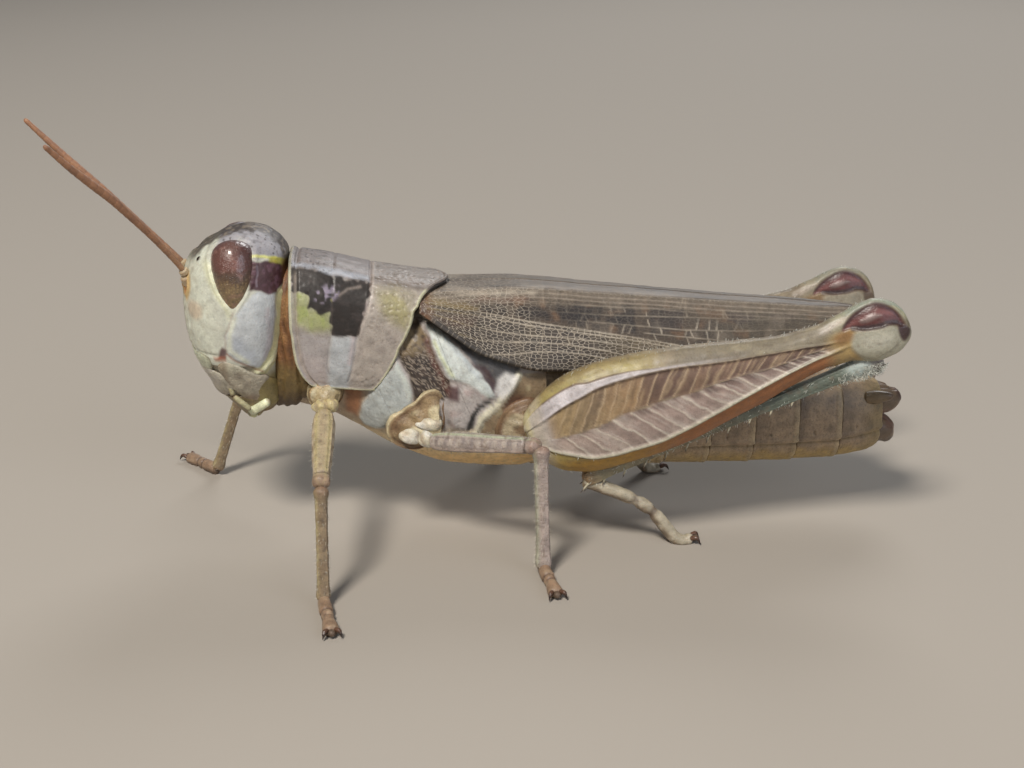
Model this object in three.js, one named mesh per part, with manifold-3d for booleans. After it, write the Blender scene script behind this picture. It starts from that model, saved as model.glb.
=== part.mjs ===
// A spur-throated grasshopper, adult female, standing with the hind legs folded.
// Life size, millimetres, +Z up. The head faces -X and the animal's left side faces -Y.
// The body is laid out with x = 0 at the face and z = 0 at the soles of the feet; the group
// is then moved so that the middle of the bounding box's floor is the origin.
import * as THREE from 'three';
import { mergeVertices } from 'three/addons/utils/BufferGeometryUtils.js';
import Module from 'manifold-3d';

const wasm = await Module();
wasm.setup();

// ---- Driving dimensions ----
const GAP = 0.04;                 // free space left between neighbouring pieces
const MOUTH_LINE = 7.35;          // lower edge of the head capsule
const CLYPEUS_BACK = 0.95;        // the lip plate lies in front of this x
const MANDIBLE_BACK = 2.25;       // the jaws end and the maxillae begin
const EYE = { x: 1.72, y: 1.8, z: 10.84, long: 1.38, wide: 0.85, out: 0.8, lean: 0.02, roll: 0.32 };
const PRONOTUM = { front: 3.78, apex: 9.78, shoulder: 8.55, hem: 6.4 };
const THORAX = { front: 3.95, meso: 7.3, meta: 10.35, end: 13.05 };
const SUTURE_SLANT = 0.42;        // lean of the thorax sutures, x per z
const ABDOMEN = { front: 13.1, end: 27.45, segments: 8, lap: 0.035 };
const WING = { base: 8.75, tip: 26.15, thick: 0.5, inset: 0, count: 11 };
const HIND_WING = { base: 10.9, tip: 24.2, thick: 0.45, inset: 0.62, count: 4 };
const ANTENNA = { root: 0.36, shaft: 0.27, tip: 0.25 };
const COLOURS = {
  cuticle: 0xb5aea4, face: 0xc4c4bd, eye: 0x6d5045, antenna: 0x8a5a43, wing: 0x7a7064,
  femur: 0x9a8a74, leg: 0xa39573, belly: 0xa3895c, valve: 0x6d4a38, hindWing: 0xb9b4a4,
};

const V = (x, y, z) => new THREE.Vector3(x, y, z);
const bend = (v, power) => Math.sign(v) * Math.abs(v) ** power;

// A smooth curve through [place, value] pairs, without overshoot and level past its ends.
function through(...pairs) {
  const slope = pairs.slice(1).map(([p, v], i) => (v - pairs[i][1]) / (p - pairs[i][0]));
  const tangent = pairs.map((_, i) => {
    if (i === 0 || i === pairs.length - 1) return slope[Math.min(i, slope.length - 1)];
    const [a, b] = [slope[i - 1], slope[i]];
    return a * b <= 0 ? 0 : 2 * a * b / (a + b);
  });
  return (p) => {
    const at = Math.min(pairs.at(-1)[0], Math.max(pairs[0][0], p));
    let i = 0;
    while (i < pairs.length - 2 && at > pairs[i + 1][0]) i++;
    const span = pairs[i + 1][0] - pairs[i][0];
    const t = (at - pairs[i][0]) / span;
    const [v0, v1, m0, m1] = [pairs[i][1], pairs[i + 1][1], tangent[i] * span, tangent[i + 1] * span];
    return v0 + t * t * (3 - 2 * t) * (v1 - v0) + t * (1 - t) ** 2 * m0 - t * t * (1 - t) * m1;
  };
}

const steps = (from, to, count) =>
  Array.from({ length: count + 1 }, (_, i) => from + (to - from) * i / count);
// Steps that crowd towards both ends, for rounded tips.
const easedSteps = (from, to, count) =>
  steps(0, Math.PI, count).map((a) => from + (to - from) * (1 - Math.cos(a)) / 2);

// A closed skin over rings of equally many points, capped at both ends.
function loft(rings) {
  const sides = rings[0].length;
  const middle = (ring) => ring.reduce((sum, p) => sum.add(p), V(0, 0, 0)).divideScalar(sides);
  const points = [...rings.flat(), middle(rings[0]), middle(rings.at(-1))];
  const index = [];
  for (let r = 0; r < rings.length - 1; r++) {
    for (let s = 0; s < sides; s++) {
      const a = r * sides + s;
      const b = r * sides + (s + 1) % sides;
      index.push(a, b, b + sides, a, b + sides, a + sides);
    }
  }
  const last = (rings.length - 1) * sides;
  for (let s = 0; s < sides; s++) {
    const next = (s + 1) % sides;
    index.push(points.length - 2, next, s, points.length - 1, last + s, last + next);
  }
  const volume = index.reduce((sum, _, i) => i % 3 ? sum
    : sum + points[index[i]].dot(points[index[i + 1]].clone().cross(points[index[i + 2]])), 0);
  if (volume < 0) index.reverse();
  const geometry = new THREE.BufferGeometry().setFromPoints(points);
  geometry.setIndex(index);
  return toSolid(geometry);
}

function toSolid(geometry) {
  geometry.deleteAttribute('normal');
  geometry.deleteAttribute('uv');
  const merged = mergeVertices(geometry, 1e-4);
  const vertProperties = new Float32Array(merged.attributes.position.array);
  const triVerts = new Uint32Array(merged.index.array);
  return new wasm.Manifold(new wasm.Mesh({ numProp: 3, vertProperties, triVerts }));
}

function toGeometry(solid) {
  const mesh = solid.getMesh();
  const geometry = new THREE.BufferGeometry();
  geometry.setAttribute('position', new THREE.BufferAttribute(mesh.vertProperties, 3));
  geometry.setIndex(new THREE.BufferAttribute(mesh.triVerts, 1));
  geometry.computeVertexNormals();
  return geometry;
}

// What is left of a piece after its neighbour is cut from it, without loose chips.
function trimmed(solid, cutter) {
  const volume = (body) => body.volume();
  return solid.subtract(cutter).decompose().reduce((a, b) => volume(a) > volume(b) ? a : b);
}

// The space between two corners, as a solid to cut with.
function block(low, high) {
  const size = high.clone().sub(low);
  const box = new THREE.BoxGeometry(size.x, size.y, size.z);
  box.translate(...low.clone().add(high).divideScalar(2));
  return toSolid(box);
}

// A side-view outline of [x, z] points, extruded right through the body.
function sidePrism(outline, halfDepth = 6) {
  const shape = new THREE.Shape(outline.map(([x, z]) => new THREE.Vector2(x, z)));
  const prism = new THREE.ExtrudeGeometry(shape, { depth: 2 * halfDepth, bevelEnabled: false });
  prism.rotateX(Math.PI / 2);
  prism.translate(0, halfDepth, 0);
  return toSolid(prism);
}

// A plan-view outline of [x, y] points, extruded up through the body.
function planPrism(outline) {
  const shape = new THREE.Shape(outline.map(([x, y]) => new THREE.Vector2(x, y)));
  return toSolid(new THREE.ExtrudeGeometry(shape, { depth: 20, bevelEnabled: false }));
}

// One ring across the body at x: half-width, top, bottom, and how square the oval is.
function bodyRing(x, { width, top, bottom, square = 2.3, sides = 16, grow = 0 }) {
  const middle = (top + bottom) / 2;
  const half = (top - bottom) / 2 + grow;
  return steps(0, 2 * Math.PI, sides).slice(0, sides).map((a) => V(x,
    (width + grow) * bend(Math.cos(a), 2 / square),
    middle + half * bend(Math.sin(a), 2 / square)));
}

// A leg piece along a few joints. The shape gives, along 0..1, the reach up, the reach down
// and the half-thickness; 'up' tells which way the deep side of the piece lies.
function limb(joints, up, shape, { rings = 6, sides = 8, grow = 0, square = 2.1 } = {}) {
  const route = joints.length > 2 ? new THREE.CatmullRomCurve3(joints) : new THREE.LineCurve3(...joints);
  const reach = grow / route.getLength();
  const list = easedSteps(-reach, 1 + reach, rings).map((t) => {
    const at = Math.min(1, Math.max(0, t));
    const along = route.getTangentAt(at);
    const out = along.clone().cross(up).normalize();
    const high = out.clone().cross(along);
    const [rise, drop, half] = shape.map((curve) => curve(t) + grow);
    const centre = route.getPointAt(at).addScaledVector(along, (t - at) * route.getLength());
    return steps(0, 2 * Math.PI, sides).slice(0, sides).map((a) => {
      const lift = bend(Math.sin(a), 2 / square);
      return centre.clone()
        .addScaledVector(high, lift * (lift > 0 ? rise : drop))
        .addScaledVector(out, half * bend(Math.cos(a), 2 / square));
    });
  });
  return loft(list);
}

const evenly = (curve) => [curve, curve, curve];
const mirrored = (p, side) => V(p.x, p.y * side, p.z);

// ---- Head ----
// Level rings from the lips to the crown: the face is almost upright, the back of the head
// fits the collar, and the cheeks are widest below the eyes.
const faceLine = through([4.85, 1.35], [5.5, 0.72], [6.2, 0.36], [7.4, -0.05], [8.7, -0.27],
  [9.6, -0.3], [10.6, -0.24], [11.2, -0.04], [11.7, 0.4], [12.1, 1.05], [12.36, 2.0]);
const napeLine = through([4.85, 2.7], [5.6, 3.25], [7.3, 3.35], [8.9, 3.6], [10.4, 3.74],
  [11.4, 3.72], [11.9, 3.45], [12.2, 3.0], [12.36, 2.45]);
const cheekLine = through([4.85, 0.75], [5.6, 1.35], [6.6, 1.9], [7.8, 2.3], [9.2, 2.42],
  [10.6, 2.22], [11.5, 1.92], [12.05, 1.3], [12.36, 0.4]);

function headWhole(grow = 0) {
  const levels = [4.85, 5.1, 5.6, 6.5, 7.7, 8.9, 9.9, 10.8, 11.5, 11.95, 12.22, 12.36];
  const sides = 16;
  return loft(levels.map((z) => {
    const middle = (faceLine(z) + napeLine(z)) / 2;
    const half = (napeLine(z) - faceLine(z)) / 2 + grow;
    return steps(0, 2 * Math.PI, sides).slice(0, sides).map((a) => V(
      middle - half * bend(Math.cos(a), 0.86),
      (cheekLine(z) + grow) * bend(Math.sin(a), 0.86), z));
  }));
}

function eye(side, grow = 0) {
  const ball = new THREE.SphereGeometry(1, 12, 8);
  ball.rotateX(Math.PI / 2);
  ball.scale(EYE.wide + grow, EYE.out + grow, EYE.long + grow);
  ball.rotateY(EYE.lean);
  ball.rotateX(side * EYE.roll);
  ball.translate(EYE.x, side * EYE.y, EYE.z);
  return toSolid(ball);
}

const antennaRoot = V(-0.02, 0.78, 10.3);
const antennaPaths = {
  left: [V(-1.7, -2.3, 13.16), V(-4.2, -4.6, 16.35)],
  right: [V(-3.06, 0.89, 13.45), V(-6.1, 1.0, 16.5)],
};

function antenna(side, path, grow = 0) {
  const radius = through([0, ANTENNA.root], [0.05, ANTENNA.root], [0.09, ANTENNA.shaft],
    [0.6, ANTENNA.shaft], [1, ANTENNA.tip]);
  const root = mirrored(antennaRoot, side);
  return limb([root, ...path], V(0, 0, 1), evenly(radius), { rings: 7, sides: 6, grow });
}

// ---- Pronotum: the saddle behind the head ----
const saddleRing = (x, grow) => bodyRing(x, {
  width: through([3.7, 2.28], [5.5, 2.3], [7.4, 2.42], [9.7, 2.5])(x),
  top: through([3.7, 11.42], [5.0, 11.22], [7.0, 10.72], [9.7, 10.28])(x),
  bottom: 5.6, square: 2.9, sides: 20, grow });

function pronotum(grow = 0) {
  const { front, apex, shoulder, hem } = PRONOTUM;
  const g = grow;
  const side = sidePrism([[front - g, 12], [front - g, 9.0], [4.02 - g, 6.95], [4.45 - g, hem + 0.16 - g],
    [5.2, hem - g], [6.75 + g, hem - 0.06 - g], [7.2 + g, hem + 0.3 - g], [7.95 + g, 8.0],
    [8.42 + g, 9.1 - g], [shoulder + g, 9.72 - g], [apex + g, 9.95 - g], [apex + g, 12]]);
  const plan = planPrism([[front - g, -4], [8.6 + g, -4], [8.62 + g, -2.2], [9.3 + g, -0.9],
    [apex + g, 0], [9.3 + g, 0.9], [8.62 + g, 2.2], [8.6 + g, 4], [front - g, 4]]);
  const skin = loft(steps(3.7, 9.7, 7).map((x) => saddleRing(x, grow)));
  return skin.intersect(side).intersect(plan);
}

// ---- Thorax below and behind the saddle ----
const thoraxWidth = through([3.9, 1.75], [5.0, 2.05], [6.6, 2.25], [8.5, 2.5], [11.0, 2.6], [13.1, 2.3]);
const thoraxTop = through([3.9, 9.6], [7.0, 9.7], [9.0, 9.35], [11.0, 9.2], [13.1, 8.6]);
const thoraxFloor = through([3.9, 5.25], [5.0, 4.95], [6.2, 4.3], [7.9, 3.35], [9.9, 2.62], [13.1, 2.3]);

function thoraxWhole() {
  return loft(steps(THORAX.front, THORAX.end, 8).map((x) => bodyRing(x, {
    width: thoraxWidth(x), top: thoraxTop(x), bottom: thoraxFloor(x), square: 2.5 })));
}

// A slice of the thorax between two slanted sutures.
function thoraxSlice(whole, from, to) {
  const lean = (x, z) => x - SUTURE_SLANT * (z - 6);
  return whole.intersect(sidePrism([[lean(from, 0), 0], [lean(to, 0), 0],
    [lean(to, 12), 12], [lean(from, 12), 12]]));
}

// ---- Abdomen: rings that taper to the tail, each lapping the next ----
const abdomenWidth = through([13.1, 2.12], [16, 2.05], [21, 1.95], [25, 1.7], [27.0, 1.3], [27.6, 1.0]);
const abdomenTop = through([13.1, 8.35], [16, 7.9], [21, 7.1], [25, 6.35], [27.0, 5.75], [27.6, 5.4]);
const abdomenFloor = through([13.1, 2.32], [16, 2.26], [22, 2.22], [25.5, 2.3], [27.0, 2.55], [27.6, 2.9]);

function abdomenRing(x, flare) {
  return bodyRing(x, { width: abdomenWidth(x) + flare, top: abdomenTop(x) + flare,
    bottom: abdomenFloor(x) - flare, square: 2.15, sides: 14 });
}

function abdomenSegment(from, to, grow = 0) {
  return loft([abdomenRing(from, grow - ABDOMEN.lap), abdomenRing((from + to) / 2, grow),
    abdomenRing(to - GAP + grow, grow + ABDOMEN.lap)]);
}

// The egg-laying valves: an upper pair hooked up and a lower pair hooked down.
function valves(up) {
  const root = V(27.3, 0, up > 0 ? 4.75 : 3.5);
  const tip = V(up > 0 ? 28.75 : 28.3, 0, up > 0 ? 4.95 : 2.85);
  const deep = through([0, 0.72], [0.45, 0.6], [0.8, 0.36], [1, 0.26]);
  const wide = through([0, 0.85], [0.6, 0.62], [1, 0.28]);
  return limb([root, tip], V(0, 0, 1), [deep, deep, wide], { rings: 5, sides: 8 });
}

function cercus(side) {
  const taper = through([0, 0.3], [1, 0.16]);
  const root = V(26.9, side * 1.2, 5.15);
  const end = root.clone().add(V(0.8, side * 0.12, 0.1));
  return limb([root, end], V(0, 0, 1), evenly(taper), { rings: 3, sides: 6 });
}

// ---- Wings: roof-like covers, level on the back and bent down over the flanks ----
const ridge = through([8.7, 10.02], [12, 10.08], [15.9, 9.76], [20, 9.34], [24, 8.98], [26.15, 8.75]);
const foldOut = through([8.7, 1.35], [12, 1.08], [16, 0.85], [20, 0.66], [24.5, 0.5], [26.15, 0.2]);
const foldDrop = through([8.7, 0.05], [12, 0.05], [26.15, 0.03]);
const flankOut = through([8.7, 2.42], [10.5, 2.72], [12.6, 2.66], [15, 2.2], [20, 1.78], [24, 1.35],
  [26.15, 0.55]);
const flankLow = through([8.7, 9.6], [9.4, 8.75], [10.3, 7.7], [11.3, 7.12], [13, 6.95], [17, 6.9],
  [21.5, 7.12], [24, 7.6], [25.6, 8.15], [26.15, 8.55]);

function wingRing(x, side, inset, thick) {
  const top = ridge(x) - inset;
  const fold = V(x, foldOut(x) - inset * 0.3, top - foldDrop(x));
  const hem = V(x, flankOut(x) - inset, Math.min(flankLow(x) + inset * 0.4, top - 0.25));
  const bulge = 0.16 * (fold.z - hem.z) / 2.8;
  const outer = [V(x, GAP / 2, top)];
  outer.push(V(x, fold.y * 0.55, top + 0.02));
  outer.push(V(x, fold.y, fold.z));
  for (const t of [0.2, 0.5, 0.8]) {
    const p = fold.clone().lerp(hem, t);
    p.y += bulge * 4 * t * (1 - t);
    outer.push(p);
  }
  outer.push(hem);
  const inner = outer.map((p, i) => {
    const a = outer[Math.max(0, i - 1)];
    const b = outer[Math.min(outer.length - 1, i + 1)];
    const way = b.clone().sub(a).normalize();
    const q = p.clone().add(V(0, way.z, -way.y).multiplyScalar(thick));
    q.y = Math.max(q.y, GAP / 2);
    return q;
  });
  return [...outer, ...inner.reverse()].map((p) => mirrored(p, side));
}

function wing(side, { base, tip, inset, thick, count }) {
  return loft(steps(base, tip, count).map((x) => wingRing(x, side, inset, thick)));
}

// ---- Legs ----
// Each leg is listed by its joints: where it leaves the body, knee, ankle and toe.
const LEGS = {
  fore_left: { hip: V(4.98, -2.72, 5.62), knee: V(5.0, -7.1, 4.4),
    ankle: V(4.97, -7.9, 0.24), toe: V(5.35, -10.3, 0.17) },
  fore_right: { hip: V(4.98, 2.72, 5.62), knee: V(1.2, 5.0, 4.5),
    ankle: V(-0.25, 5.15, 0.24), toe: V(-1.7, 6.9, 0.17) },
  mid_left: { hip: V(9.1, -2.85, 4.4), knee: V(13.1, -5.45, 5.08),
    ankle: V(13.2, -5.75, 0.24), toe: V(13.5, -7.9, 0.17) },
  mid_right: { hip: V(9.1, 2.85, 4.4), knee: V(12.2, 6.2, 5.0),
    ankle: V(12.6, 6.9, 0.24), toe: V(13.5, 8.9, 0.17) },
};
const COXA_ROOT = { fore: V(5.05, 1.55, 6.15), mid: V(8.75, 1.7, 5.1), hind: V(12.0, 1.5, 4.9) };
const HIND = {
  left: { hip: V(12.7, -3.15, 4.85), knee: V(27.3, -3.95, 8.95), ankle: V(15.0, -3.05, 2.72),
    instep: V(17.4, -3.2, 1.62), sole: V(18.7, -3.3, 0.2), toe: V(19.4, -3.35, 0.17) },
  right: { hip: V(12.7, 3.15, 4.85), knee: V(28.2, 3.75, 8.1), ankle: V(15.3, 3.05, 2.55),
    instep: V(17.5, 3.6, 1.5), sole: V(18.7, 4.1, 0.2), toe: V(19.3, 4.35, 0.17) },
};

// Coxa and trochanter in one piece: a stout cone from the thorax to the hip.
function coxa(root, hip, size, grow = 0) {
  const girth = through([0, size * 1.05], [0.55, size], [0.8, size * 0.72], [1, size * 0.62]);
  return limb([root, hip], V(1, 0, 0), evenly(girth), { rings: 4, grow });
}

function walkingFemur(hip, knee, grow = 0) {
  const deep = through([0, 0.4], [0.2, 0.54], [0.65, 0.46], [0.86, 0.38], [0.95, 0.42], [1, 0.3]);
  const half = through([0, 0.36], [0.25, 0.42], [0.8, 0.34], [1, 0.28]);
  return limb([hip, knee], V(1, 0, 0), [deep, deep, half], { rings: 5, grow });
}

function walkingTibia(knee, ankle, grow = 0) {
  const girth = through([0, 0.34], [0.12, 0.3], [0.85, 0.27], [1, 0.3]);
  return limb([knee, ankle], V(1, 0, 0), evenly(girth), { rings: 4, grow });
}

// The foot: pads in a row and a broad end with the claws, cut flat where it meets the floor.
function tarsus(joints, rings) {
  const height = through([0, 0.3], [0.3, 0.26], [0.8, 0.26], [1, 0.25]);
  const half = through([0, 0.28], [0.3, 0.31], [0.6, 0.29], [0.88, 0.37], [1, 0.3]);
  const foot = limb(joints, V(0, 0, 1), [height, height, half], { rings, sides: 6 });
  return foot.intersect(block(V(-5, -15, 0), V(40, 15, 30)));
}

// The jumping thigh: a flattened club with a deep base, a slender neck and a bulbous knee.
const clubUp = through([0, 0.5], [0.03, 0.95], [0.08, 1.42], [0.15, 1.78], [0.23, 1.9], [0.36, 1.78],
  [0.48, 1.52], [0.6, 1.2], [0.7, 1.0], [0.77, 1.02], [0.82, 1.2], [0.87, 1.42], [0.915, 1.53],
  [0.965, 1.25], [1, 0.55]);
const clubDown = through([0, 0.95], [0.03, 1.45], [0.08, 2.0], [0.16, 2.3], [0.29, 2.26], [0.4, 2.06],
  [0.5, 1.68], [0.6, 1.32], [0.7, 0.87], [0.78, 0.62], [0.83, 0.62], [0.9, 0.92], [0.955, 0.8], [1, 0.3]);
const clubHalf = through([0, 0.42], [0.08, 0.75], [0.2, 0.95], [0.45, 0.88], [0.75, 0.6], [0.83, 0.52],
  [0.92, 0.68], [1, 0.35]);

function jumpingFemur({ hip, knee }, grow = 0) {
  const shape = [clubUp, clubDown, clubHalf];
  return limb([hip, knee], V(0, 0, 1), shape, { rings: 15, sides: 10, grow, square: 2.3 });
}

// The shin folds back under the thigh and lies in its groove.
function jumpingTibia({ knee, ankle }, side, grow = 0) {
  const root = knee.clone().add(V(-0.95, 0.12 * -side, -1.2));
  const girth = through([0, 0.42], [0.08, 0.42], [0.2, 0.34], [0.9, 0.32], [1, 0.38]);
  return limb([root, ankle], V(0, 0, 1), evenly(girth), { rings: 6, grow });
}

// ---- Assembly ----
const grasshopper = new THREE.Group();

function add(name, colour, roughness, solid) {
  const material = new THREE.MeshStandardMaterial({ color: colour, roughness, metalness: 0 });
  const mesh = new THREE.Mesh(toGeometry(solid), material);
  mesh.name = name;
  grasshopper.add(mesh);
}

const SIDES = [['left', -1], ['right', 1]];
const isLeft = (side) => side < 0;
const cell = (x0, x1, y0, y1, z0, z1) => block(V(x0, y0, z0), V(x1, y1, z1));

// Head and mouthparts
const throatCut = cell(THORAX.front - GAP, 9, -5, 5, 0, 9);
const collarCut = cell(PRONOTUM.front - GAP, 9, -5, 5, 8.0, 14).add(throatCut);
let head = headWhole().subtract(collarCut);
for (const [name, side] of SIDES) {
  head = head.subtract(eye(side, GAP));
  head = head.subtract(antenna(side, antennaPaths[name], GAP));
}
add('head', COLOURS.face, 0.5, head.intersect(cell(-2, 6, -4, 4, MOUTH_LINE + GAP, 14)));
const mouth = headWhole().subtract(collarCut).intersect(cell(-2, 6, -4, 4, 0, MOUTH_LINE - GAP));
add('clypeus_labrum', COLOURS.face, 0.5, mouth.intersect(cell(-2, CLYPEUS_BACK, -4, 4, 5.3, 9)));
const behind = CLYPEUS_BACK + GAP;
const jawBottom = 5.95;
for (const [name, side] of SIDES) {
  const [low, high] = isLeft(side) ? [-4, -GAP / 2] : [GAP / 2, 4];
  add(`eye_${name}`, COLOURS.eye, 0.25, eye(side));
  add(`antenna_${name}`, COLOURS.antenna, 0.55, antenna(side, antennaPaths[name]));
  const jaw = mouth.intersect(cell(behind, MANDIBLE_BACK, low, high, jawBottom, 9));
  add(`mandible_${name}`, COLOURS.belly, 0.45, jaw);
  const feeding = mouth.intersect(cell(MANDIBLE_BACK + GAP, 6, low, high, jawBottom, 9));
  add(`maxilla_${name}`, COLOURS.leg, 0.5, feeding);
}
add('labium', COLOURS.belly, 0.5, mouth.intersect(cell(behind, 6, -4, 4, 0, jawBottom - GAP)));

// Trunk
add('pronotum', COLOURS.cuticle, 0.6, pronotum());
const wingSpace = { inset: -GAP, thick: WING.thick + 2 * GAP };
const covers = SIDES.map(([, side]) => wing(side, { ...WING, ...wingSpace }));
const fans = SIDES.map(([, side], i) => wing(side, HIND_WING).subtract(covers[i]));
const fanSpace = SIDES.map(([, side]) => wing(side, { ...HIND_WING, base: HIND_WING.base - GAP,
  inset: HIND_WING.inset - 2 * GAP, thick: HIND_WING.thick + 3 * GAP }));
const wingCutters = [...covers, ...fanSpace];
const underWings = (solid) => wingCutters.reduce((rest, cutter) => rest.subtract(cutter), solid);
let thorax = underWings(thoraxWhole().subtract(pronotum(GAP)));
const coxaSize = { fore: 0.78, mid: 0.88, hind: 1.0 };
const hips = { fore: LEGS.fore_right.hip, mid: LEGS.mid_right.hip, hind: V(12.45, 2.45, 4.75) };
for (const pair of ['fore', 'mid', 'hind']) {
  for (const [, side] of SIDES) {
    const root = mirrored(COXA_ROOT[pair], side);
    thorax = thorax.subtract(coxa(root, mirrored(hips[pair], side), coxaSize[pair], GAP));
  }
}
add('prothorax', COLOURS.cuticle, 0.6, thoraxSlice(thorax, 0, THORAX.meso - GAP));
add('mesothorax', COLOURS.cuticle, 0.6, thoraxSlice(thorax, THORAX.meso, THORAX.meta - GAP));
add('metathorax', COLOURS.cuticle, 0.6, thoraxSlice(thorax, THORAX.meta, 20));

const segmentLength = (ABDOMEN.end - ABDOMEN.front) / ABDOMEN.segments;
for (let i = 0; i < ABDOMEN.segments; i++) {
  const from = ABDOMEN.front + i * segmentLength;
  add(`abdomen_${i + 1}`, COLOURS.belly, 0.55, underWings(abdomenSegment(from, from + segmentLength)));
}

// Wings
SIDES.forEach(([name, side], i) => {
  add(`tegmen_${name}`, COLOURS.wing, 0.6, wing(side, WING).subtract(pronotum(GAP)));
  add(`hind_wing_${name}`, COLOURS.hindWing, 0.5, fans[i]);
});

// Walking legs
for (const pair of ['fore', 'mid']) {
  for (const [name, side] of SIDES) {
    const { hip, knee, ankle, toe } = LEGS[`${pair}_${name}`];
    const root = mirrored(COXA_ROOT[pair], side);
    const upper = trimmed(coxa(root, hip, coxaSize[pair]), pronotum(GAP));
    const thigh = trimmed(walkingFemur(hip, knee), coxa(root, hip, coxaSize[pair], GAP));
    const shin = trimmed(walkingTibia(knee, ankle), walkingFemur(hip, knee, GAP));
    add(`${pair}_coxa_${name}`, COLOURS.leg, 0.55, upper);
    add(`${pair}_femur_${name}`, COLOURS.leg, 0.55, thigh);
    add(`${pair}_tibia_${name}`, COLOURS.leg, 0.55, shin);
    const foot = trimmed(tarsus([ankle, toe], 5), walkingTibia(knee, ankle, GAP));
    add(`${pair}_tarsus_${name}`, COLOURS.leg, 0.6, foot);
  }
}

// Jumping legs
for (const [name, side] of SIDES) {
  const leg = HIND[name];
  const root = mirrored(COXA_ROOT.hind, side);
  const hip = mirrored(hips.hind, side);
  const shin = jumpingTibia(leg, side);
  const foot = [leg.ankle, leg.instep, leg.sole, leg.toe];
  const upper = trimmed(coxa(root, hip, coxaSize.hind), jumpingFemur(leg, GAP));
  const thigh = trimmed(jumpingFemur(leg), jumpingTibia(leg, side, GAP));
  add(`hind_coxa_${name}`, COLOURS.leg, 0.55, upper);
  add(`hind_femur_${name}`, COLOURS.femur, 0.55, thigh);
  add(`hind_tibia_${name}`, COLOURS.leg, 0.5, shin);
  add(`hind_tarsus_${name}`, COLOURS.leg, 0.6, trimmed(tarsus(foot, 6), jumpingTibia(leg, side, GAP)));
}

// Tail
const lastRing = abdomenSegment(ABDOMEN.end - segmentLength, ABDOMEN.end, GAP);
for (const [name, side] of SIDES) {
  add(`cercus_${name}`, COLOURS.valve, 0.5, trimmed(cercus(side), lastRing));
}
add('ovipositor_upper', COLOURS.valve, 0.4, trimmed(valves(1), lastRing));
add('ovipositor_lower', COLOURS.valve, 0.4, trimmed(valves(-1), lastRing));

// ---- Origin at the middle of the bounding box's floor ----
const bounds = new THREE.Box3().setFromObject(grasshopper);
const centre = bounds.getCenter(V(0, 0, 0));
grasshopper.position.set(-centre.x, -centre.y, -bounds.min.z);

export default grasshopper;
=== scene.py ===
"""A still, life-size model of a spur-throated grasshopper, dressed over its CAD solids.

Every shape is worked out in millimetres in the body's own frame: x runs from the face (0) to
the tail, the left side is -y, and z is 0 under the soles.
"""
import itertools
import math

import bpy
import numpy as np
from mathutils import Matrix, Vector


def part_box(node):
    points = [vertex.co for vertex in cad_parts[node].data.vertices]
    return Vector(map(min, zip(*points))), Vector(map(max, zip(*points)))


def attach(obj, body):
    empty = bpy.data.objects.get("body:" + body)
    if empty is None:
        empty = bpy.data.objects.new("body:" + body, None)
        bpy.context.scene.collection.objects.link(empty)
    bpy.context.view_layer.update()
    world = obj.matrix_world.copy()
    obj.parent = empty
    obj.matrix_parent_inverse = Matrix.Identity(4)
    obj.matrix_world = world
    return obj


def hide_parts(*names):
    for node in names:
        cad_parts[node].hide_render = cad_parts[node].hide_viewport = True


bl_info = {
    "name": "Grasshopper model",
    "version": (1, 0, 0),
    "blender": (4, 5, 0),
    "location": "3D View > Sidebar > Grasshopper",
    "description": "Builds a museum-type model of a spur-throated grasshopper",
    "category": "Object",
}

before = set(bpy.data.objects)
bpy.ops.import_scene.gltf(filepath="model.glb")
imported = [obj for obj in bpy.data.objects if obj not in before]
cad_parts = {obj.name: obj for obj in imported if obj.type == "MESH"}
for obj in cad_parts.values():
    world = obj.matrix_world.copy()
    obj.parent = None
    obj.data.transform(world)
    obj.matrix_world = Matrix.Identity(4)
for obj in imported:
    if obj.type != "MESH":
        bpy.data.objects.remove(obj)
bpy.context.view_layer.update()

# ---- Sizes in millimetres, as the solids have them ----
MM = 1000  # in a metre
EYE_SOLID = np.array([1.72, 1.8, 10.84])
EYE_CENTRE = np.array([1.72, 1.72, 10.84])
EYE_LONG, EYE_WIDE, EYE_OUT = 1.38, 0.85, 0.8
EYE_LEAN, EYE_ROLL = 0.02, 0.42
eye_low, eye_high = (np.array(corner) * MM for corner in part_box("eye_left"))
BODY_TO_ROW = (eye_low + eye_high) / 2 - EYE_SOLID * [1, -1, 1]
SIDES = (("left", -1), ("right", 1))
SKINS = {}  # surfaces that the hairs stand on, kept by the operators that make them


# ---- Curves, masks and noise, all on whole arrays ----
def linear(hex_colour):
    """An sRGB hex colour as linear red, green and blue. A setting is linear already."""
    if not isinstance(hex_colour, str):
        return np.array(hex_colour)
    value = np.array([int(hex_colour[i:i + 2], 16) for i in (1, 3, 5)]) / 255
    return np.where(value <= 0.04045, value / 12.92, ((value + 0.055) / 1.055) ** 2.4)


def through(*rows):
    """A monotone cubic through [place, value] rows: each inner slope is the harmonic mean of
    the two chords beside it, or level where they turn, so the curve never overshoots."""
    place, value = np.array(rows, float).T
    run = np.diff(place)
    chord = np.diff(value) / run
    both = chord[:-1] * chord[1:]
    slope = np.concatenate([chord[:1], np.where(
        both > 0, 2 * both / np.where(both > 0, chord[:-1] + chord[1:], 1), 0), chord[-1:]])

    def curve(at):
        at = np.clip(at, place[0], place[-1])
        i = np.clip(np.searchsorted(place, at, side="right") - 1, 0, len(run) - 1)
        t = (at - place[i]) / run[i]
        return (value[i] * (1 + 2 * t) * (1 - t) ** 2 + value[i + 1] * t * t * (3 - 2 * t)
                + run[i] * t * (1 - t) * (slope[i] * (1 - t) - slope[i + 1] * t))
    return curve


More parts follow.
